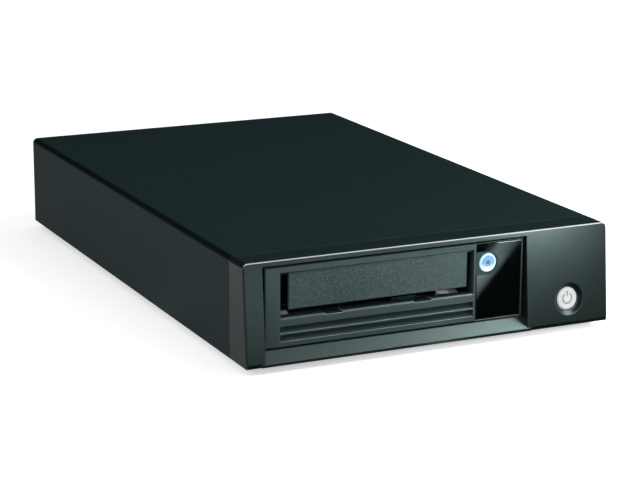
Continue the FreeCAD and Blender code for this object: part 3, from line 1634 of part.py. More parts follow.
def make_switch_board():
    place, normal = power_axis()
    y = switch_board_y()
    half = switch_board_width / 2
    board = block(place.x - half, place.x + half, y, y + board_thickness,
                  place.z - switch_board_below, place.z + switch_board_above)
    hole = stake_radius + part_gap / 2
    board = cut(board, *[rod(hole, 2 * board_thickness, p - Y, Y) for p in switch_board_places()])
    stem_end = place - normal * (dish_depth + power_length + power_travel + switch_gap)
    half = switch_size / 2
    switch = block(place.x - half, place.x + half, stem_end.y, y, stem_end.z - half, stem_end.z + half)
    return group([board, switch])


def make_case_screws():
    solids = [screw(place, Z * -1, 2 * sheet) for place in cover_screw_places()]
    solids += [screw(V(p.x, panel_y + sheet, p.z), Y) for p in panel_screw_places()]
    solids += [screw(V(p.x, panel_y + sheet, p.z), Y) for p in fan_hole_places(panel_y)]
    solids += [screw(p, Z, bracket_sheet + sheet) for p in bracket_foot_places()]
    for side in (-1, 1):
        solids += [screw(p, X * side, 2.6) for p in bracket_side_places(side)]
    return group(solids)


def export(name, shape):
    shape.exportStep("parts/" + name + ".step")
    solids = len(shape.Solids)
    if not shape.isValid():
        print("not valid:", name)
    print(name, solids, round(shape.Volume, 1))


def main():
    case_parts = {
        "front_bezel": make_front_bezel(),
        "power_button": make_power_button(),
        "top_cover": make_top_cover(),
        "bottom_tray": make_bottom_tray(),
        "feet": make_feet(),
        "rear_panel": make_rear_panel(),
        "power_inlet": make_power_inlet(),
        "inlet_blades": make_inlet_blades(),
        "port_cages": make_port_cages(),
        "port_board": make_port_board(),
        "fan_frame": make_fan_frame(),
        "fan_rotor": make_fan_rotor(),
        "supply_board": make_supply_board(),
        "supply_heat_sinks": make_supply_heat_sinks(),
        "supply_transformer": make_supply_transformer(),
        "left_bracket": make_bracket(-1),
        "right_bracket": make_bracket(1),
        "switch_board": make_switch_board(),
        "case_screws": make_case_screws(),
    }
    drive_parts = {
        "drive_bezel": make_drive_bezel(),
        "hinge_pin": make_hinge_pin(),
        "cartridge_door": make_cartridge_door(),
        "gloss_panel": make_gloss_panel(),
        "button_surround": make_button_surround(),
        "eject_button": make_eject_button(),
        "light_pipes": make_light_pipes(),
        "panel_board": make_panel_board(),
        "drive_base": make_drive_base(),
        "drive_lid": make_drive_lid(),
        "drive_board": make_drive_board(),
        "rear_plug": make_rear_plug(),
        "deck": make_deck(),
        "slot_guides": make_slot_guides(),
        "deck_screws": make_deck_screws(),
        "supply_motor": make_supply_motor(),
        "supply_chuck": make_supply_chuck(),
        "take_up_motor": make_take_up_motor(),
        "take_up_reel": make_take_up_reel(),
        "roller_posts": make_roller_posts(),
        "head_frame": make_head_frame(),
        "head_bridge": make_head_bridge(),
        "head_motor": make_head_motor(),
        "head_screw": make_head_screw(),
        "head_carriage": make_head_carriage(),
        "tape_head": make_tape_head(),
        "cartridge_tray": make_cartridge_tray(),
        "left_cam_plate": make_cam_plate(-1),
        "right_cam_plate": make_cam_plate(1),
        "cam_link": make_cam_link(),
        "left_guide": make_loader_guide(-1),
        "right_guide": make_loader_guide(1),
        "loader_gear": make_loader_gear(),
        "gear_axle": make_gear_axle(),
        "motor_pinion": make_motor_pinion(),
        "loader_motor": make_loader_motor(),
        "motor_bracket": make_motor_bracket(),
    }
    for index, place in enumerate(roller_places):
        drive_parts["guide_roller_" + str(index + 1)] = make_guide_roller(place)
    for name, shape in case_parts.items():
        export(name, shape)
    for name, shape in drive_parts.items():
        export(name, in_drive(shape))


main()
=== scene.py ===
import json
import math
import bpy
import bmesh
from mathutils import Matrix, Quaternion, Vector


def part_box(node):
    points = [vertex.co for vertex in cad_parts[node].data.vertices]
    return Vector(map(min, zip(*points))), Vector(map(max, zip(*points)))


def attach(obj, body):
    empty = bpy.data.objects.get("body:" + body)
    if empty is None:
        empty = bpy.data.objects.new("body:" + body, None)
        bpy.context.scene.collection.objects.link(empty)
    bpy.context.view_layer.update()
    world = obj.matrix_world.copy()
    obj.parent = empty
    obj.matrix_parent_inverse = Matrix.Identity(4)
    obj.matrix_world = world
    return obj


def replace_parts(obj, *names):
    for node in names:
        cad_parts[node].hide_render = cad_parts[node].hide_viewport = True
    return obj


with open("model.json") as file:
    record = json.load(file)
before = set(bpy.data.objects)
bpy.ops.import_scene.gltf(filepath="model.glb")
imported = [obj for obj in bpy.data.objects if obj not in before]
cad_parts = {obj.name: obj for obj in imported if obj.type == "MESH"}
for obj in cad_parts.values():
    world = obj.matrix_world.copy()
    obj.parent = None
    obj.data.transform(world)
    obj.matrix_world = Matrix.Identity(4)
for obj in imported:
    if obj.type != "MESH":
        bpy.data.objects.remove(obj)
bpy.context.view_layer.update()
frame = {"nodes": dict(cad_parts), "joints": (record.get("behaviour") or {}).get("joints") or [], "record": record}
nodes = frame["nodes"]
print("frame loaded")

mm = 0.001  # everything is in metres, small sizes are written as so many mm


# camera, lamps and floor

camera = {
    "place": (-0.50015, -1.08084, 0.32886),  # solved from the case's corners
    "lookAt": (-0.04199, -0.11965, 0.05280),
    "roll": math.radians(0.307),
    "lens": 117.15,
    "sensor": 36.0,
    "clip": (0.01, 50.0),
}

room = {
    "floorSize": 6.0,
    "floorColor": (0.93, 0.93, 0.93, 1),
    "floorRoughness": 0.9,
    "floorGlow": 0.5,  # seen by camera, glossy and transmission rays only, so the paper is white
    "ambient": 0.5,
}

lamps = {
    # name: place, target, size, watts
    "keyLamp": ((0.60, -0.42, 0.66), (0.03, -0.1, 0.03), (0.45, 0.4), 5.0),
    "sideLamp": ((-0.62, -0.45, 0.30), (-0.1, -0.08, 0.03), (0.3, 0.3), 1.7),
    "frontLamp": ((0.05, -0.40, 0.012), (-0.03, -0.17, 0.02), (0.18, 0.02), 0.10),
    "panelLamp": ((0.140, -0.31, 0.068), (0.075, -0.17, 0.05), (0.03, 0.03), 0.20),
    "ledgeLamp": ((0.20, -0.28, 0.27), (0.06, -0.16, 0.02), (0.06, 0.05), 0.22),
}

# Dark cloths that only reflections see. The one on the floor leaves a lit band, which the smoked panel shows.
cloths = {
    "front": -1.4,
    "side": 1.6,
    "back": 1.1,
    "wallHeight": 2.2,
    "wallWidth": 5.0,
    "frontHeight": 1.6,
    "height": 0.0005,
    "color": (0.008, 0.010, 0.010, 1),
    "leftEdge": -0.104,  # left of this the floor's cloth thins out, and the case's side shows the pale floor
    "leftFade": 0.003,
    "leftCover": 0.62,
    "bandPlace": (0.0676, -0.2331),  # where the panel's left edge mirrors the lit band's sharp edge
    "bandAlong": (0.0892, -0.1014),  # the way that edge runs over the floor
    "bandWidth": 0.018,
    # across the band: place and cover, where 1 is dark
    "bandCover": ((0.0, 1.0), (0.16, 0.85), (0.38, 0.0), (0.81, 0.55), (1.0, 1.0)),
}


def aimed(place, target, roll=0.0):
    turn = (Vector(target) - Vector(place)).to_track_quat("-Z", "Y")
    return turn @ Quaternion((0, 0, 1), roll)


def makeCamera():
    data = bpy.data.cameras.new("camera")
    data.sensor_width = camera["sensor"]
    data.lens = camera["lens"]
    data.clip_start, data.clip_end = camera["clip"]
    view = bpy.data.objects.new("camera", data)
    view.rotation_mode = "QUATERNION"
    view.location = camera["place"]
    view.rotation_quaternion = aimed(camera["place"], camera["lookAt"], camera["roll"])
    bpy.context.scene.collection.objects.link(view)
    bpy.context.scene.camera = view


def makeLamps():
    for name, (place, target, size, watts) in lamps.items():
        data = bpy.data.lights.new(name, "AREA")
        data.shape = "RECTANGLE"
        data.size, data.size_y = size
        data.energy = watts
        lamp = bpy.data.objects.new(name, data)
        lamp.rotation_mode = "QUATERNION"
        lamp.location = place
        lamp.rotation_quaternion = aimed(place, target)
        lamp.visible_camera = False
        bpy.context.scene.collection.objects.link(lamp)


# joins sockets to the inputs of a node in turn, or sets an input where a value is given
def fed(tree, node, *values):
    for socket, value in zip(node.inputs, values):
        if hasattr(value, "is_output"):
            tree.links.new(value, socket)
        else:
            socket.default_value = value
    return node


def mathOf(tree, operation, *values):
    node = tree.nodes.new("ShaderNodeMath")
    node.operation = operation
    return fed(tree, node, *values).outputs[0]


def vectorOf(tree, operation, *values):
    node = tree.nodes.new("ShaderNodeVectorMath")
    node.operation = operation
    return fed(tree, node, *values).outputs


def rampOf(tree, value, stops):
    ramp = tree.nodes.new("ShaderNodeValToRGB")
    elements = ramp.color_ramp.elements
    while len(elements) < len(stops):
        elements.new(0.5)
    for element, (place, color) in zip(elements, stops):
        element.position = place
        element.color = color
    tree.links.new(value, ramp.inputs["Fac"])
    return ramp.outputs["Color"]


# low where the value is start, high where it is end
def spreadOf(tree, value, low, high, start, end):
    spread = tree.nodes.new("ShaderNodeMapRange")
    spread.inputs["From Min"].default_value = start
    spread.inputs["From Max"].default_value = end
    spread.inputs["To Min"].default_value = low
    spread.inputs["To Max"].default_value = high
    tree.links.new(value, spread.inputs["Value"])
    return spread.outputs["Result"]


# 1 for the rays that see the room: camera, glossy and transmission rays
def seenRays(tree):
    rays = tree.nodes.new("ShaderNodeLightPath").outputs
    first = mathOf(tree, "MAXIMUM", rays["Is Camera Ray"], rays["Is Glossy Ray"])
    return mathOf(tree, "MAXIMUM", first, rays["Is Transmission Ray"])


def makeWorld():
    world = bpy.data.worlds.new("studio")
    bpy.context.scene.world = world
    world.use_nodes = True
    tree = world.node_tree
    tree.nodes.clear()
    lit = fed(tree, tree.nodes.new("ShaderNodeBackground"), (1, 1, 1, 1), room["ambient"])
    white = fed(tree, tree.nodes.new("ShaderNodeBackground"), (1, 1, 1, 1), 1.0)
    mix = fed(tree, tree.nodes.new("ShaderNodeMixShader"), seenRays(tree), lit.outputs[0], white.outputs[0])
    fed(tree, tree.nodes.new("ShaderNodeOutputWorld"), mix.outputs[0])


# a single face that isn't part of the object
def makeStage(name, corners, material):
    mesh = bpy.data.meshes.new(name)
    mesh.from_pydata(corners, [], [(0, 1, 2, 3)])
    mesh.materials.append(material)
    sheet = bpy.data.objects.new(name, mesh)
    bpy.context.scene.collection.objects.link(sheet)


def levelCorners(left, right, front, back, height):
    return [(left, front, height), (right, front, height), (right, back, height), (left, back, height)]


def uprightCorners(half, place, top):
    return [(-half, place, 0), (half, place, 0), (half, place, top), (-half, place, top)]


def makeFloor():
    material = bpy.data.materials.new("floorPaper")
    material.use_nodes = True
    tree = material.node_tree
    shader = tree.nodes["Principled BSDF"]
    shader.inputs["Base Color"].default_value = room["floorColor"]
    shader.inputs["Roughness"].default_value = room["floorRoughness"]
    shader.inputs["Specular IOR Level"].default_value = 0.0
    shader.inputs["Emission Color"].default_value = (1, 1, 1, 1)
    glow = mathOf(tree, "MULTIPLY", seenRays(tree), room["floorGlow"])
    tree.links.new(glow, shader.inputs["Emission Strength"])
    half = room["floorSize"] / 2
    makeStage("floor", levelCorners(-half, half, -half, half, 0), material)


# black where the cover value is 1 and the ray is a reflection, and clear to everything else
def clothMaterial(name, cover=None):
    material = bpy.data.materials.new(name)
    material.use_nodes = True
    tree = material.node_tree
    tree.nodes.clear()
    clear = tree.nodes.new("ShaderNodeBsdfTransparent")
    dark = fed(tree, tree.nodes.new("ShaderNodeEmission"), cloths["color"])
    factor = tree.nodes.new("ShaderNodeLightPath").outputs["Is Glossy Ray"]
    if cover:
        factor = mathOf(tree, "MULTIPLY", factor, cover(tree))
    mix = fed(tree, tree.nodes.new("ShaderNodeMixShader"), factor, clear.outputs[0], dark.outputs[0])
    fed(tree, tree.nodes.new("ShaderNodeOutputMaterial"), mix.outputs[0])
    return material


# 1 where the floor's cloth is dark, less in the lit band and left of the case
def bandCover(tree):
    along = Vector((*cloths["bandAlong"], 0)).normalized()
    across = Vector((-along.y, along.x, 0))
    edge = Vector((*cloths["bandPlace"], 0)).dot(across)
    place = tree.nodes.new("ShaderNodeTexCoord").outputs["Object"]
    reach = vectorOf(tree, "DOT_PRODUCT", place, across)["Value"]
    share = spreadOf(tree, reach, 0.0, 1.0, edge - cloths["bandWidth"], edge)
    band = rampOf(tree, share, [(at, (dark, dark, dark, 1)) for at, dark in cloths["bandCover"]])
    parts = fed(tree, tree.nodes.new("ShaderNodeSeparateXYZ"), place)
    left = cloths["leftEdge"]
    side = spreadOf(tree, parts.outputs["X"], cloths["leftCover"], 1.0, left - cloths["leftFade"], left)
    return mathOf(tree, "MINIMUM", band, side)


def makeCloths():
    front, back, level = cloths["front"], cloths["back"], cloths["height"]
    side, half = cloths["side"], cloths["wallWidth"] / 2
    banded = clothMaterial("floorCloth", bandCover)
    makeStage("floorCloth", levelCorners(-side, side, front, back, level), banded)
    dark = clothMaterial("wallCloth")
    makeStage("wallCloth", uprightCorners(half, back, cloths["wallHeight"]), dark)
    makeStage("frontCloth", uprightCorners(half, front, cloths["frontHeight"]), dark)


makeCamera()
makeWorld()
makeLamps()
makeFloor()
makeCloths()
bpy.context.scene.view_settings.view_transform = "Standard"
print("camera, lamps and floor made")


# materials

def srgb(red, green, blue):
    def linear(value):
        value /= 255
        return value / 12.92 if value <= 0.04045 else ((value + 0.055) / 1.055) ** 2.4
    return (linear(red), linear(green), linear(blue), 1.0)


def mixed(color, other, share):
    return tuple(a + (b - a) * share for a, b in zip(color, other))


# where the shading rounds an edge, and where the edge is painted paler, as if rubbed and with a painted highlight:
# cosines and parts of the normal, from and to
edgeRubAndHighlight = {
    "samples": 6,
    "openSamples": 4,
    "turned": (0.80, 0.97),  # how far the rounded normal leans away from the face's
    "open": (0.75, 0.95),  # how freely a point lies, because inner corners get neither rubbing nor painted highlight
    "up": (0.1, 0.5),  # how far an edge looks up, since the painted highlight falls from above
    "least": 0.12,  # what is left of the paler edge on edges that don't look up
}

# parts of the normal, from and to, where a face counts as level, as a bend and as a top edge
faceRule = {
    "level": (0.97, 0.99),
    "bend": (0.12, 0.3),
    "front": (-0.5, -0.25),
    "raised": (0.25, 0.5),
    "fade": 1.0,  # in mm, over which the painted highlight on the top edge sets in
}


class Finish:
    # a Principled material with the node chains that the finishes below share

    def __init__(self, name):
        self.material = bpy.data.materials.new(name)
        self.material.use_nodes = True
        self.tree = self.material.node_tree
        self.shader = self.tree.nodes["Principled BSDF"]
        self.coords = self.tree.nodes.new("ShaderNodeTexCoord").outputs["Object"]
        self.rounded = None

    def set(self, **values):
        names = {"metallic": "Metallic", "roughness": "Roughness", "ior": "IOR",
                 "specular": "Specular IOR Level", "specularTint": "Specular Tint",
                 "coat": "Coat Weight", "coatRoughness": "Coat Roughness",
                 "transmission": "Transmission Weight",
                 "subsurface": "Subsurface Weight", "subsurfaceScale": "Subsurface Scale"}
        for key, value in values.items():
            self.shader.inputs[names[key]].default_value = value

    # the object's coordinates, with one input of a Mapping node set
    def mapped(self, name, value):
        mapping = self.tree.nodes.new("ShaderNodeMapping")
        mapping.inputs[name].default_value = value
        self.tree.links.new(self.coords, mapping.inputs["Vector"])
        return mapping.outputs["Vector"]

    def noise(self, size, detail=2.0, stretch=None):
        texture = self.tree.nodes.new("ShaderNodeTexNoise")
        texture.inputs["Scale"].default_value = 1 / size
        texture.inputs["Detail"].default_value = detail
        vector = self.mapped("Scale", stretch) if stretch else self.coords
        self.tree.links.new(vector, texture.inputs["Vector"])
        return texture.outputs["Fac"]

    # how far a point lies from the borders of irregular cells
    def cells(self, size):
        texture = self.tree.nodes.new("ShaderNodeTexVoronoi")
        texture.feature = "DISTANCE_TO_EDGE"
        texture.inputs["Scale"].default_value = 1 / size
        self.tree.links.new(self.coords, texture.inputs["Vector"])
        return texture.outputs["Distance"]

    def ramp(self, value, stops):
        return rampOf(self.tree, value, stops)

    def spread(self, value, low, high, start=0.3, end=0.7):
        return spreadOf(self.tree, value, low, high, start, end)

    def times(self, first, second):
        return mathOf(self.tree, "MULTIPLY", first, second)

    def parts(self, vector):
        return fed(self.tree, self.tree.nodes.new("ShaderNodeSeparateXYZ"), vector).outputs

    def normal(self):
        return self.tree.nodes.new("ShaderNodeNewGeometry").outputs["Normal"]

    def blend(self, value, first, second):
        mix = self.tree.nodes.new("ShaderNodeMix")
        mix.data_type = "RGBA"
        self.tree.links.new(value, mix.inputs["Factor"])
        for source, name in ((first, "A"), (second, "B")):
            socket = [i for i in mix.inputs if i.name == name and i.type == "RGBA"][0]
            if hasattr(source, "is_output"):
                self.tree.links.new(source, socket)
            else:
                socket.default_value = source
        return [o for o in mix.outputs if o.type == "RGBA"][0]

    # 1 along outer edges, most on those that look up: rubbed paler and given a painted highlight from above. They
    # also shade as if they were rounded to this radius in mm
    def edges(self, radius):
        look = edgeRubAndHighlight
        bevel = self.tree.nodes.new("ShaderNodeBevel")
        bevel.samples = look["samples"]
        bevel.inputs["Radius"].default_value = radius * mm
        self.rounded = bevel.outputs["Normal"]
        lean = vectorOf(self.tree, "DOT_PRODUCT", self.rounded, self.normal())["Value"]
        turned = self.spread(lean, 1.0, 0.0, *look["turned"])
        corner = self.tree.nodes.new("ShaderNodeAmbientOcclusion")
        corner.samples = look["openSamples"]
        corner.only_local = True
        corner.inputs["Distance"].default_value = 2 * radius * mm
        outer = self.times(turned, self.spread(corner.outputs["AO"], 0.0, 1.0, *look["open"]))
        up = self.parts(self.rounded)["Z"]
        return self.times(outer, self.spread(up, look["least"], 1.0, *look["up"]))

    # 1 on level tops
    def upward(self):
        return self.spread(self.parts(self.normal())["Z"], 0.0, 1.0, *faceRule["level"])

    # 1 on bends between the faces across two axes
    def between(self, first, second):
        parts = self.parts(self.normal())
        both = self.times(parts[first], parts[second])
        return self.spread(mathOf(self.tree, "ABSOLUTE", both), 0.0, 1.0, *faceRule["bend"])

    # 1 on rounded edges between a top and a front, above the given height, where a highlight is painted
    def topEdge(self, height):
        parts = self.parts(self.normal())
        both = self.times(self.spread(parts["Y"], 1.0, 0.0, *faceRule["front"]),
                          self.spread(parts["Z"], 0.0, 1.0, *faceRule["raised"]))
        level = self.parts(self.coords)["Z"]
        return self.times(both, self.spread(level, 0.0, 1.0, height - faceRule["fade"] * mm, height))

    def colored(self, socket):
        self.tree.links.new(socket, self.shader.inputs["Base Color"])

    def roughened(self, socket):
        self.tree.links.new(socket, self.shader.inputs["Roughness"])

    # each layer is a height socket and its depth in mm
    def bumped(self, *layers):
        normal = self.rounded
        for height, depth in layers:
            bump = self.tree.nodes.new("ShaderNodeBump")
            bump.inputs["Strength"].default_value = 1.0
            bump.inputs["Distance"].default_value = depth * mm
            self.tree.links.new(height, bump.inputs["Height"])
            if normal:
                self.tree.links.new(normal, bump.inputs["Normal"])
            normal = bump.outputs["Normal"]
        self.tree.links.new(normal, self.shader.inputs["Normal"])


cool = (0.72, 1.0, 0.99, 1)  # the dark plastics reflect a little less red

# Moulded plastic and paint: a fine grain, a few lighter grains and slow drifts of tone. Sizes are in mm.
# edge is radius, share and color of rubbed edges with a painted highlight, rim is the height and color of a
# painted highlight along the top edge
grained = {
    "case_paint": {
        "color": (18, 33, 34), "light": (24, 40, 41), "grain": 0.9, "depth": 0.010, "speck": 0.0,
        "rough": (0.48, 0.58), "specular": 0.16, "tint": cool,
        # edge is rubbed edges with a painted highlight, bend a painted dark reflection on the bends between top
        # and sides
        "edge": (0.3, 0.10, (70, 84, 84)), "bend": (3, 6, 6),
    },
    "panel_paint": {
        "color": (30, 38, 40), "light": (38, 46, 48), "grain": 0.8, "depth": 0.010, "speck": 0.0,
        "rough": (0.5, 0.6), "specular": 0.25,
    },
    "face_plastic": {
        "color": (5, 12, 11), "light": (24, 35, 33), "grain": 0.5, "depth": 0.022, "speck": 0.3,
        "rough": (0.27, 0.37), "specular": 0.45, "tint": cool,
        # edge is rubbed edges with a painted highlight, rim a painted highlight along the top front edge
        "edge": (0.5, 0.7, (160, 170, 166)), "rim": (57.4, (172, 174, 167)),
        # top is painted light on level tops, corner a painted dark reflection on the vertical corners
        "top": (20, 35, 36), "corner": (4, 7, 7),
    },
    "bezel_plastic": {
        "color": (39, 51, 51), "light": (54, 66, 66), "grain": 0.4, "depth": 0.012, "speck": 0.12,
        "rough": (0.30, 0.38), "specular": 0.45, "tint": cool,
        "edge": (0.42, 1.0, (200, 214, 210)),
    },
    "door_plastic": {
        "color": (22, 34, 37), "light": (78, 91, 92), "grain": 0.6, "depth": 0.035, "speck": 0.4,
        "rough": (0.34, 0.44), "specular": 0.45, "tint": cool,
        "edge": (0.3, 0.3, (140, 152, 150)),
    },
    "dark_plastic": {
        "color": (24, 38, 46), "light": (32, 47, 56), "grain": 0.4, "depth": 0.008, "speck": 0.1,
        "rough": (0.45, 0.55), "specular": 0.4, "tint": cool,
    },
    "inlet_plastic": {
        "color": (22, 24, 25), "light": (34, 36, 37), "grain": 0.5, "depth": 0.008, "speck": 0.1,
        "rough": (0.38, 0.5), "specular": 0.5,
    },
    "foot_rubber": {
        "color": (20, 21, 22), "light": (34, 35, 36), "grain": 0.35, "depth": 0.02, "speck": 0.2,
        "rough": (0.75, 0.9), "specular": 0.3,
    },
    "white_plastic": {
        "color": (158, 161, 160), "light": (170, 173, 172), "grain": 0.5, "depth": 0.003, "speck": 0.0,
        "rough": (0.3, 0.38), "specular": 0.5,
    },
    "white_acetal": {
        "color": (226, 236, 233), "light": (240, 247, 244), "grain": 1.2, "depth": 0.004, "speck": 0.0,
        "rough": (0.32, 0.42), "specular": 0.5,
    },
    "ferrite": {
        "color": (52, 50, 49), "light": (78, 75, 72), "grain": 0.6, "depth": 0.02, "speck": 0.3,
        "rough": (0.55, 0.7), "specular": 0.5,
    },
    "head_ceramic": {
        "color": (70, 66, 60), "light": (92, 88, 80), "grain": 0.3, "depth": 0.002, "speck": 0.1,
        "rough": (0.12, 0.2), "specular": 0.6,
    },
}

# what the grained finishes have in common
grainRule = {
    "drift": 45,  # size of the slow drifts of tone, in mm
    "driftTone": 0.22,  # how far they go towards the light color
    "fine": 0.35,  # the finer grain, as a share of the grain's size
    "fineDepth": 0.5,
    "speckLeast": 0.25,
    "speckRange": (0.42, 0.75),
    "detail": 3.0,
}

# metals: color, light color, grain size, stretch of the grain along X, Y, Z, roughness from and to, depth
metals = {
    "zinc_steel": ((150, 152, 150), (186, 188, 186), 2.4, (1, 1, 1), (0.3, 0.46), 0.004),
    "port_steel": ((176, 175, 170), (204, 203, 198), 0.8, (1, 0.1, 1), (0.22, 0.34), 0.003),
    "blade_brass": ((196, 190, 176), (222, 216, 202), 0.5, (1, 0.1, 1), (0.2, 0.3), 0.002),
    "sink_aluminium": ((170, 172, 174), (198, 200, 202), 0.6, (1, 0.06, 1), (0.3, 0.42), 0.006),
    "blackened_steel": ((40, 42, 43), (58, 60, 61), 0.4, (1, 1, 1), (0.4, 0.5), 0.002),
    "screw_steel": ((118, 120, 122), (160, 161, 160), 0.5, (1, 1, 1), (0.25, 0.4), 0.004),
    "pin_steel": ((168, 170, 172), (205, 206, 206), 0.4, (0.2, 1, 1), (0.14, 0.24), 0.002),
    "cast_aluminium": ((138, 140, 140), (172, 174, 173), 0.7, (1, 1, 1), (0.42, 0.58), 0.02),
    "bright_steel": ((190, 192, 192), (220, 221, 220), 0.5, (1, 0.05, 1), (0.16, 0.28), 0.002),
    "roller_steel": ((184, 186, 188), (214, 215, 215), 0.3, (1, 1, 0.1), (0.12, 0.2), 0.002),
    "carriage_alloy": ((146, 148, 150), (176, 178, 178), 0.5, (1, 1, 1), (0.3, 0.42), 0.01),
}


def grainedFinish(slot):
    look, rule = grained[slot], grainRule
    finish = Finish(slot)
    base = srgb(*look["color"])
    light = srgb(*look["light"])
    size = look["grain"] * mm
    drift = finish.noise(rule["drift"] * mm, rule["detail"])
    grain = finish.noise(size, rule["detail"])
    fine = finish.noise(size * rule["fine"])
    tone = finish.ramp(drift, [(0.3, base), (0.7, mixed(base, light, rule["driftTone"]))])
    specks = finish.spread(grain, 0.0, rule["speckLeast"] + look["speck"], *rule["speckRange"])
    tone = finish.blend(specks, tone, light)
    # painted light: level tops get a lighter tone
    if "top" in look:
        tone = finish.blend(finish.upward(), tone, srgb(*look["top"]))
    # painted shade: a dark reflection on the bends between top and sides
    if "bend" in look:
        tone = finish.blend(finish.between("X", "Z"), tone, srgb(*look["bend"]))
    # painted shade: a dark reflection on the vertical corners between front and sides
    if "corner" in look:
        tone = finish.blend(finish.between("X", "Y"), tone, srgb(*look["corner"]))
    # rubbed edges with a painted highlight, strongest on edges that look up
    if "edge" in look:
        radius, rubAndHighlightShare, rubbedAndLitColor = look["edge"]
        share = finish.spread(finish.edges(radius), 0.0, rubAndHighlightShare, 0.0, 1.0)
        tone = finish.blend(share, tone, srgb(*rubbedAndLitColor))
    # a painted highlight along the top front edge
    if "rim" in look:
        height, rubbedAndLitColor = look["rim"]
        tone = finish.blend(finish.topEdge(height * mm), tone, srgb(*rubbedAndLitColor))
    finish.colored(tone)
    finish.roughened(finish.spread(fine, *look["rough"]))
    finish.bumped((grain, look["depth"]), (fine, look["depth"] * rule["fineDepth"]))
    finish.set(specular=look["specular"], specularTint=look.get("tint", (1, 1, 1, 1)))
    return finish


cloudy = {"size": 18, "share": 0.35}  # patches on the metals where the light color fades, in mm


def metalFinish(slot):
    color, light, size, stretch, rough, depth = metals[slot]
    finish = Finish(slot)
    grain = finish.noise(size * mm, 3.0, stretch)
    cloud = finish.noise(cloudy["size"] * mm)
    tone = finish.ramp(grain, [(0.3, srgb(*color)), (0.7, srgb(*light))])
    finish.colored(finish.blend(finish.spread(cloud, 0.0, cloudy["share"]), tone, srgb(*color)))
    finish.roughened(finish.spread(grain, *rough))
    finish.bumped((grain, depth))
    finish.set(metallic=1.0)
    return finish


smoked = {
    "color": (0, 1, 1),
    "haze": (1, 3, 3),
    "hazeSize": 30,
    "wipeSize": 3,  # streaks left by wiping, long in height
    "wipeStretch": (1, 1, 0.25),
    "rough": (0.045 * 0.7, 0.045 * 1.4),
    "ior": 1.72,
    "coat": 0.2,
    "coatRoughness": 0.02,
}


def smokedFinish():
    look = smoked
    finish = Finish("smoked_plastic")
    haze = finish.noise(look["hazeSize"] * mm)
    finish.colored(finish.ramp(haze, [(0.35, srgb(*look["color"])), (0.7, srgb(*look["haze"]))]))
    wipe = finish.noise(look["wipeSize"] * mm, 3.0, look["wipeStretch"])
    finish.roughened(finish.spread(wipe, *look["rough"]))
    finish.set(ior=look["ior"], coat=look["coat"], coatRoughness=look["coatRoughness"], specularTint=cool)
    return finish


# a dished lens: paler towards its rim, with painted light towards its foot, where the dish's lower wall faces the
# light
blue = {
    "middle": (88, 136, 180),
    "edge": (190, 222, 240),
    "edgeRange": (0.70, 0.86),  # as shares of the radius
    "lit": (226, 244, 252),
    "litRange": (-0.85, -0.1),  # heights, as shares of the radius
    "mottle": 1.6,
    "mottleShare": 0.25,
    "depth": 0.004,
    "roughness": 0.25,
    "subsurface": 0.25,
    "subsurfaceScale": 1.5,
}


def blueFinish():
    look = blue
    low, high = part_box("eject_button")
    radius = (high.x - low.x) / 2
    finish = Finish("blue_plastic")
    place = finish.mapped("Location", -(low + high) / 2)
    flat = vectorOf(finish.tree, "MULTIPLY", place, (1, 0, 1))["Vector"]
    share = finish.spread(vectorOf(finish.tree, "LENGTH", flat)["Value"], 0.0, 1.0, 0.0, radius)
    mottle = finish.noise(look["mottle"] * mm, 3.0)
    rimStart, rimEnd = look["edgeRange"]
    tone = finish.ramp(share, [(rimStart, srgb(*look["middle"])), (rimEnd, srgb(*look["edge"]))])
    # painted light: paler towards the dish's foot
    foot = finish.spread(finish.parts(place)["Z"], 1.0, 0.0, *(level * radius for level in look["litRange"]))
    tone = finish.blend(foot, tone, srgb(*look["lit"]))
    finish.colored(finish.blend(finish.spread(mottle, 0.0, look["mottleShare"]), tone, srgb(*look["edge"])))
    finish.bumped((mottle, look["depth"]))
    finish.set(roughness=look["roughness"], specular=0.5,
               subsurface=look["subsurface"], subsurfaceScale=look["subsurfaceScale"] * mm)
    return finish


clear = {"color": (205, 212, 210), "light": (226, 232, 230), "haze": 0.6, "rough": (0.1, 0.2),
         "transmission": 0.7, "ior": 1.49}


def clearFinish():
    look = clear
    finish = Finish("clear_plastic")
    haze = finish.noise(look["haze"] * mm)
    finish.colored(finish.ramp(haze, [(0.3, srgb(*look["color"])), (0.7, srgb(*look["light"]))]))
    finish.roughened(finish.spread(haze, *look["rough"]))
    finish.set(transmission=look["transmission"], ior=look["ior"])
    return finish


# solder mask with lighter tracks running below it
board = {
    "mask": (10, 44, 28),
    "maskShade": 0.35,  # how far the weave darkens it
    "copper": (24, 66, 42),
    "pitch": 1.6,
    "track": (0.09, 0.144),
    "weave": 0.4,
    "rough": (0.25, 0.4),
    "depth": 0.02,
}


def boardFinish():
    look = board
    finish = Finish("board_green")
    track = finish.spread(finish.cells(look["pitch"] * mm), 1.0, 0.0, *look["track"])
    weave = finish.noise(look["weave"] * mm)
    mask = srgb(*look["mask"])
    tone = finish.ramp(weave, [(0.3, mask), (0.7, mixed(mask, (0, 0, 0, 1), look["maskShade"]))])
    finish.colored(finish.blend(track, tone, srgb(*look["copper"])))
    finish.roughened(finish.spread(weave, *look["rough"]))
    finish.bumped((track, look["depth"]))
    return finish


def makeFinishes():
    made = {slot: grainedFinish(slot).material for slot in grained}
    made.update({slot: metalFinish(slot).material for slot in metals})
    made["smoked_plastic"] = smokedFinish().material
    made["blue_plastic"] = blueFinish().material
    made["clear_plastic"] = clearFinish().material
    made["board_green"] = boardFinish().material
    return made


# nodes whose finish isn't the one of their slot
ownFinish = {"hinge_pin": "blackened_steel", "slot_guides": "white_acetal"}


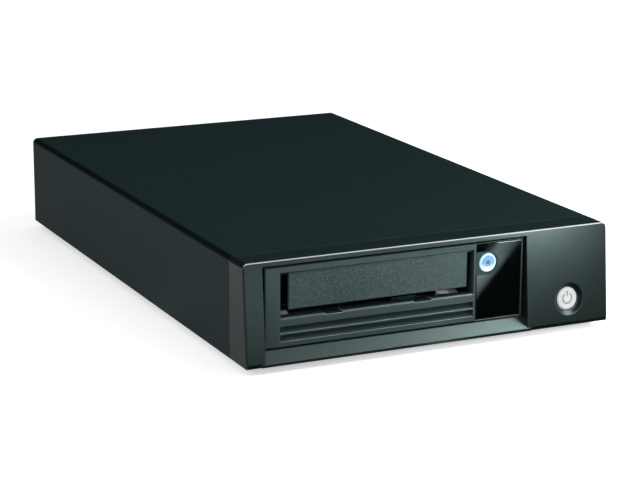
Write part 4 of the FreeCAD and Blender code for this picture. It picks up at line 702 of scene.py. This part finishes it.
def dressNodes(made):
    for part in frame["record"]["subparts"]:
        piece = nodes[part["node"]]
        if not piece.material_slots:
            piece.data.materials.append(None)
        for place in piece.material_slots:
            place.material = made[ownFinish.get(part["node"], part["material_slot"])]


finishes = makeFinishes()
dressNodes(finishes)
print("finishes made:", len(finishes))


# shared shapes

samePoint = 1e-6  # corners closer than this are one


def newPiece(name, mesh, body, slot, material=None):
    piece = bpy.data.objects.new(name, mesh)
    bpy.context.scene.collection.objects.link(piece)
    if not mesh.materials:
        mesh.materials.append(material or finishes[slot])
    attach(piece, body)
    return piece


def meshFrom(name, bm):
    bmesh.ops.remove_doubles(bm, verts=bm.verts, dist=samePoint)
    bmesh.ops.recalc_face_normals(bm, faces=bm.faces)
    mesh = bpy.data.meshes.new(name)
    bm.to_mesh(mesh)
    bm.free()
    return mesh


# a closed strip of even thickness from an outline of (x, y) points
def addSlab(bm, outline, low, high):
    bottom = [bm.verts.new((x, y, low)) for x, y in outline]
    top = [bm.verts.new((x, y, high)) for x, y in outline]
    bm.faces.new(list(reversed(bottom)))
    bm.faces.new(top)
    count = len(outline)
    for index in range(count):
        after = (index + 1) % count
        bm.faces.new((bottom[index], bottom[after], top[after], top[index]))


# a flat ring, or part of one, made of short four-sided blocks that share their ends
def addArcBand(bm, inner, outer, start, end, steps, low, high):
    rows = []
    for index in range(steps + 1):
        angle = start + (end - start) * index / steps
        direction = Vector((math.cos(angle), math.sin(angle)))
        corners = [(*(direction * radius), level) for radius in (inner, outer) for level in (low, high)]
        rows.append([bm.verts.new(corner) for corner in corners])
    for first, second in zip(rows, rows[1:]):
        for a, b in ((0, 1), (1, 3), (3, 2), (2, 0)):
            bm.faces.new((first[a], first[b], second[b], second[a]))
    for row in (rows[0], rows[-1]):
        bm.faces.new((row[0], row[1], row[3], row[2]))


# The case and its face reach a little lower than the solids, with a sharper lower edge.

lowerEdge = {
    "drop": 1.3,
    "radius": 0.6,  # in place of the bend
    "bend": 3.0,
    "skin": 0.28,  # only what lies this close to the outside moves
}


def lowered(node, name, slot):
    low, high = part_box(node)
    look = {key: value * mm for key, value in lowerEdge.items()}
    corner = Vector((high.x - look["bend"], low.z + look["bend"]))
    foot = low.z - look["drop"]
    source = nodes[node].data
    bm = bmesh.new()
    bm.from_mesh(source)
    kept = bm.loops.layers.float_vector.new("kept")
    for face, polygon in zip(bm.faces, source.polygons):
        for loop, index in zip(face.loops, polygon.loop_indices):
            loop[kept] = source.corner_normals[index].vector
    bmesh.ops.remove_doubles(bm, verts=bm.verts, dist=samePoint)
    for vertex in bm.verts:
        x, z = abs(vertex.co.x), vertex.co.z
        if z > corner.y + samePoint:
            continue
        if x > corner.x:
            out = Vector((x - corner.x, corner.y - z))
            inside, turn = look["bend"] - out.length, math.atan2(out.y, out.x)
        else:
            inside, turn = z - low.z, math.pi / 2
        if inside > look["skin"]:
            continue
        vertex.co.z = foot + inside
        if x > corner.x - samePoint:
            radius = max(look["radius"] - inside, 0.0)
            vertex.co.x = math.copysign(high.x - inside - radius * (1 - math.cos(turn)), vertex.co.x)
            vertex.co.z += radius * (1 - math.sin(turn))
    mesh = bpy.data.meshes.new(name)
    bm.to_mesh(mesh)
    bm.free()
    normals = [Vector(item.vector) for item in mesh.attributes["kept"].data]
    mesh.attributes.remove(mesh.attributes["kept"])
    mesh.shade_smooth()
    mesh.normals_split_custom_set(normals)
    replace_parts(newPiece(name, mesh, "case", slot), node)


lowered("top_cover", "cover_shell", "case_paint")
lowered("front_bezel", "face_shell", "face_plastic")
print("cover and face made")


# screws with a cross recess, set where the solids have their plain ones

screws = {
    "head": 1.5,  # height
    "sides": 28,
    "rim": (0.72, 0.93, 0.80),  # shares: the side's and the rounded edge's height, the flat top's radius
    "arm": 0.56,  # the recess, as shares of the head's radius
    "armHalfWidth": 0.13,
    "taper": 0.8,  # the recess's floor, as a share of its mouth
    "recessDepth": 0.9,
    "shank": 0.52,
    "shankSides": 16,
    "shankGap": 0.01,  # a hair below the head, so that the two stay separate closed shapes
    "sharp": math.radians(35),
    "seed": 7,
}


def ringOf(bm, radius, level, count):
    turns = [2 * math.pi * index / count for index in range(count)]
    return [bm.verts.new((radius * math.cos(turn), radius * math.sin(turn), level)) for turn in turns]


def joinRings(bm, first, second):
    count = len(first)
    for index in range(count):
        after = (index + 1) % count
        bm.faces.new((first[index], first[after], second[after], second[index]))


def crossOf(bm, arm, half, level):
    corners = [(half, arm), (half, half), (arm, half), (arm, -half), (half, -half), (half, -arm)]
    corners += [(-x, -y) for x, y in corners]
    return [bm.verts.new((x, y, level)) for x, y in corners]


def screwMesh(radius, length):
    look = screws
    height = look["head"] * mm
    side, edge, flat = look["rim"]
    bm = bmesh.new()
    count = look["sides"]
    rings = [ringOf(bm, radius, 0, count), ringOf(bm, radius, side * height, count),
             ringOf(bm, edge * radius, edge * height, count), ringOf(bm, flat * radius, height, count)]
    bm.faces.new(rings[0])
    for first, second in zip(rings, rings[1:]):
        joinRings(bm, first, second)
    arm, half = look["arm"] * radius, look["armHalfWidth"] * radius
    mouth = crossOf(bm, arm, half, height)
    floor = crossOf(bm, arm * look["taper"], half * look["taper"], height - look["recessDepth"] * mm)
    joinRings(bm, mouth, floor)
    bm.faces.new(floor)
    loops = []
    for ring in (rings[3], mouth):
        for index, vertex in enumerate(ring):
            loops.append(bm.edges.get((vertex, ring[(index + 1) % len(ring)])))
    bmesh.ops.triangle_fill(bm, use_beauty=True, edges=loops, normal=(0, 0, 1))
    ends = (-length, -look["shankGap"] * mm)
    low, high = (ringOf(bm, radius * look["shank"], level, look["shankSides"]) for level in ends)
    bm.faces.new(low)
    bm.faces.new(high)
    joinRings(bm, low, high)
    return meshFrom("screw", bm)


# seat, outward direction, shank length and head radius of each screw of a node
def screwPlaces(node):
    bm = bmesh.new()
    bm.from_mesh(nodes[node].data)
    bmesh.ops.remove_doubles(bm, verts=bm.verts, dist=samePoint)
    left = set(bm.verts)
    places = []
    while left:
        island, edge = set(), [left.pop()]
        while edge:
            vertex = edge.pop()
            island.add(vertex)
            near = [link.other_vert(vertex) for link in vertex.link_edges]
            edge += [other for other in near if other in left]
            left.difference_update(near)
        points = [vertex.co for vertex in island]
        low = Vector([min(point[axis] for point in points) for axis in range(3)])
        high = Vector([max(point[axis] for point in points) for axis in range(3)])
        middle = (low + high) / 2
        lean = sum(points, Vector()) / len(points) - middle
        axis = max(range(3), key=lambda index: abs(lean[index]))
        out = Vector((0, 0, 0))
        out[axis] = math.copysign(1, lean[axis])
        reach = (high - low)[axis]
        seat = middle + out * (reach / 2 - screws["head"] * mm)
        places.append((seat, out, reach - screws["head"] * mm, (high - low)[(axis + 1) % 3] / 2))
    bm.free()
    return sorted(places, key=lambda place: tuple(round(value, 5) for value in place[0]))


def makeScrewGroup():
    group = bpy.data.node_groups.new("screws", "GeometryNodeTree")
    sockets = {"Geometry": "NodeSocketGeometry", "Screw": "NodeSocketObject",
               "Material": "NodeSocketMaterial", "Seed": "NodeSocketInt"}
    for name, kind in sockets.items():
        group.interface.new_socket(name, in_out="INPUT", socket_type=kind)
    group.interface.new_socket("Geometry", in_out="OUTPUT", socket_type="NodeSocketGeometry")
    make, link = group.nodes.new, group.links.new
    given, result = make("NodeGroupInput"), make("NodeGroupOutput")
    facing = make("GeometryNodeInputNamedAttribute")
    facing.data_type = "FLOAT_VECTOR"
    facing.inputs["Name"].default_value = "facing"
    aligned = make("FunctionNodeAlignRotationToVector")
    aligned.axis = "Z"
    link(facing.outputs["Attribute"], aligned.inputs["Vector"])
    chance = make("FunctionNodeRandomValue")
    chance.inputs["Max"].default_value = math.pi
    link(given.outputs["Seed"], chance.inputs["Seed"])
    angle = make("ShaderNodeCombineXYZ")
    link(chance.outputs["Value"], angle.inputs["Z"])
    turned = make("FunctionNodeRotateRotation")
    turned.rotation_space = "LOCAL"
    link(aligned.outputs["Rotation"], turned.inputs["Rotation"])
    link(angle.outputs["Vector"], turned.inputs["Rotate By"])
    source = make("GeometryNodeObjectInfo")
    link(given.outputs["Screw"], source.inputs["Object"])
    placed = make("GeometryNodeInstanceOnPoints")
    link(given.outputs["Geometry"], placed.inputs["Points"])
    link(source.outputs["Geometry"], placed.inputs["Instance"])
    link(turned.outputs["Rotation"], placed.inputs["Rotation"])
    realized = make("GeometryNodeRealizeInstances")
    dressed = make("GeometryNodeSetMaterial")
    link(placed.outputs["Instances"], realized.inputs["Geometry"])
    link(realized.outputs["Geometry"], dressed.inputs["Geometry"])
    link(given.outputs["Material"], dressed.inputs["Material"])
    link(dressed.outputs["Geometry"], result.inputs["Geometry"])
    return group


def makeScrews(node, name, group):
    places = screwPlaces(node)
    points = bpy.data.meshes.new(name + "Points")
    drop = lowerEdge["drop"] * mm if node == "case_screws" else 0
    seats = [place[0] - Vector((0, 0, drop)) if place[1].z < -0.5 else place[0] for place in places]
    points.from_pydata(seats, [], [])
    facing = points.attributes.new("facing", "FLOAT_VECTOR", "POINT")
    for index, place in enumerate(places):
        facing.data[index].vector = place[1]
    screw = bpy.data.objects.new("screw", screwMesh(places[0][3], min(place[2] for place in places)))
    host = bpy.data.objects.new(name + "Host", points)
    for helper in (screw, host):
        bpy.context.scene.collection.objects.link(helper)
    modifier = host.modifiers.new("screws", "NODES")
    modifier.node_group = group
    values = {"Screw": screw, "Material": finishes["screw_steel"], "Seed": screws["seed"]}
    for item in group.interface.items_tree:
        if item.item_type == "SOCKET" and item.in_out == "INPUT" and item.name in values:
            modifier[item.identifier] = values[item.name]
    mesh = bpy.data.meshes.new_from_object(host.evaluated_get(bpy.context.evaluated_depsgraph_get()))
    mesh.name = name
    host.modifiers.remove(modifier)
    for helper in (screw, host):
        bpy.data.objects.remove(helper)
    mesh.shade_smooth()
    mesh.set_sharp_from_angle(angle=screws["sharp"])
    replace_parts(newPiece(name, mesh, "case", "screw_steel"), node)
    print(name, "made:", len(places))


screwGroup = makeScrewGroup()
makeScrews("case_screws", "case_screw_set", screwGroup)
makeScrews("deck_screws", "deck_screw_set", screwGroup)


# signs on the two buttons, printed a hair above their faces

powerSign = {
    "radius": 2.75,
    "line": 0.62,
    "gap": math.radians(34),  # half the opening at the top
    "bar": (1.3, 4.0),  # foot and tip of the upright bar
    "steps": 40,
    "thickness": 0.03,
    "color": (66, 70, 69),
}

ejectSign = {
    "width": 3.2,
    "height": 2.5,
    "bar": 0.5,
    "gap": 0.45,
    "thickness": 0.03,
    "color": (14, 48, 92),
}


ink = {"grain": 0.25, "fade": 0.12, "rough": (0.4, 0.55), "specular": 0.4}


def inkFinish(name, color):
    finish = Finish(name)
    grain = finish.noise(ink["grain"] * mm)
    full = srgb(*color)
    finish.colored(finish.ramp(grain, [(0.3, full), (0.75, mixed(full, (1, 1, 1, 1), ink["fade"]))]))
    finish.roughened(finish.spread(grain, *ink["rough"]))
    finish.set(specular=ink["specular"])
    return finish.material


# local Z becomes the outward normal and local Y stays as upright as it can
def placedOn(mesh, origin, normal):
    z = Vector(normal).normalized()
    x = Vector((0, 0, 1)).cross(z).normalized()
    y = z.cross(x)
    turn = Matrix((x, y, z)).transposed().to_4x4()
    mesh.transform(Matrix.Translation(origin) @ turn)
    return mesh


def faceNormal(jointName):
    joint = [j for j in frame["joints"] if j["name"] == jointName][0]
    return -Vector(joint["axis"]).normalized()


flatFace = 0.01  # in mm, what lies this close to a button's tip is its face


# where the line through a button's middle, along its travel, leaves its face
def buttonFace(node, normal):
    low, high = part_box(node)
    middle = (low + high) / 2
    levels = [vertex.co.dot(normal) for vertex in nodes[node].data.vertices]
    reach = max(levels)
    face = [level for level in levels if level > reach - flatFace * mm]
    return middle + normal * (sum(face) / len(face) - middle.dot(normal))


def makePowerSign():
    look = powerSign
    bm = bmesh.new()
    up = math.pi / 2
    addArcBand(bm, (look["radius"] - look["line"] / 2) * mm, (look["radius"] + look["line"] / 2) * mm,
               up + look["gap"], up + 2 * math.pi - look["gap"], look["steps"], 0, look["thickness"] * mm)
    half = look["line"] / 2 * mm
    foot, tip = (value * mm for value in look["bar"])
    addSlab(bm, [(-half, foot), (half, foot), (half, tip), (-half, tip)], 0, look["thickness"] * mm)
    normal = faceNormal("power_press")
    mesh = placedOn(meshFrom("power_sign", bm), buttonFace("power_button", normal), normal)
    newPiece("power_sign", mesh, "power", "white_plastic", inkFinish("powerInk", look["color"]))


def makeEjectSign():
    look = ejectSign
    half = look["width"] / 2 * mm
    foot = -(look["height"] + look["gap"] + look["bar"]) / 2 * mm
    rise = foot + (look["bar"] + look["gap"]) * mm
    bm = bmesh.new()
    top = foot + look["bar"] * mm
    thickness = look["thickness"] * mm
    addSlab(bm, [(-half, foot), (half, foot), (half, top), (-half, top)], 0, thickness)
    addSlab(bm, [(-half, rise), (half, rise), (0, rise + look["height"] * mm)], 0, thickness)
    normal = faceNormal("eject_press")
    mesh = placedOn(meshFrom("eject_sign", bm), buttonFace("eject_button", normal), normal)
    newPiece("eject_sign", mesh, "eject", "blue_plastic", inkFinish("ejectInk", look["color"]))


makePowerSign()
makeEjectSign()
print("button signs made")
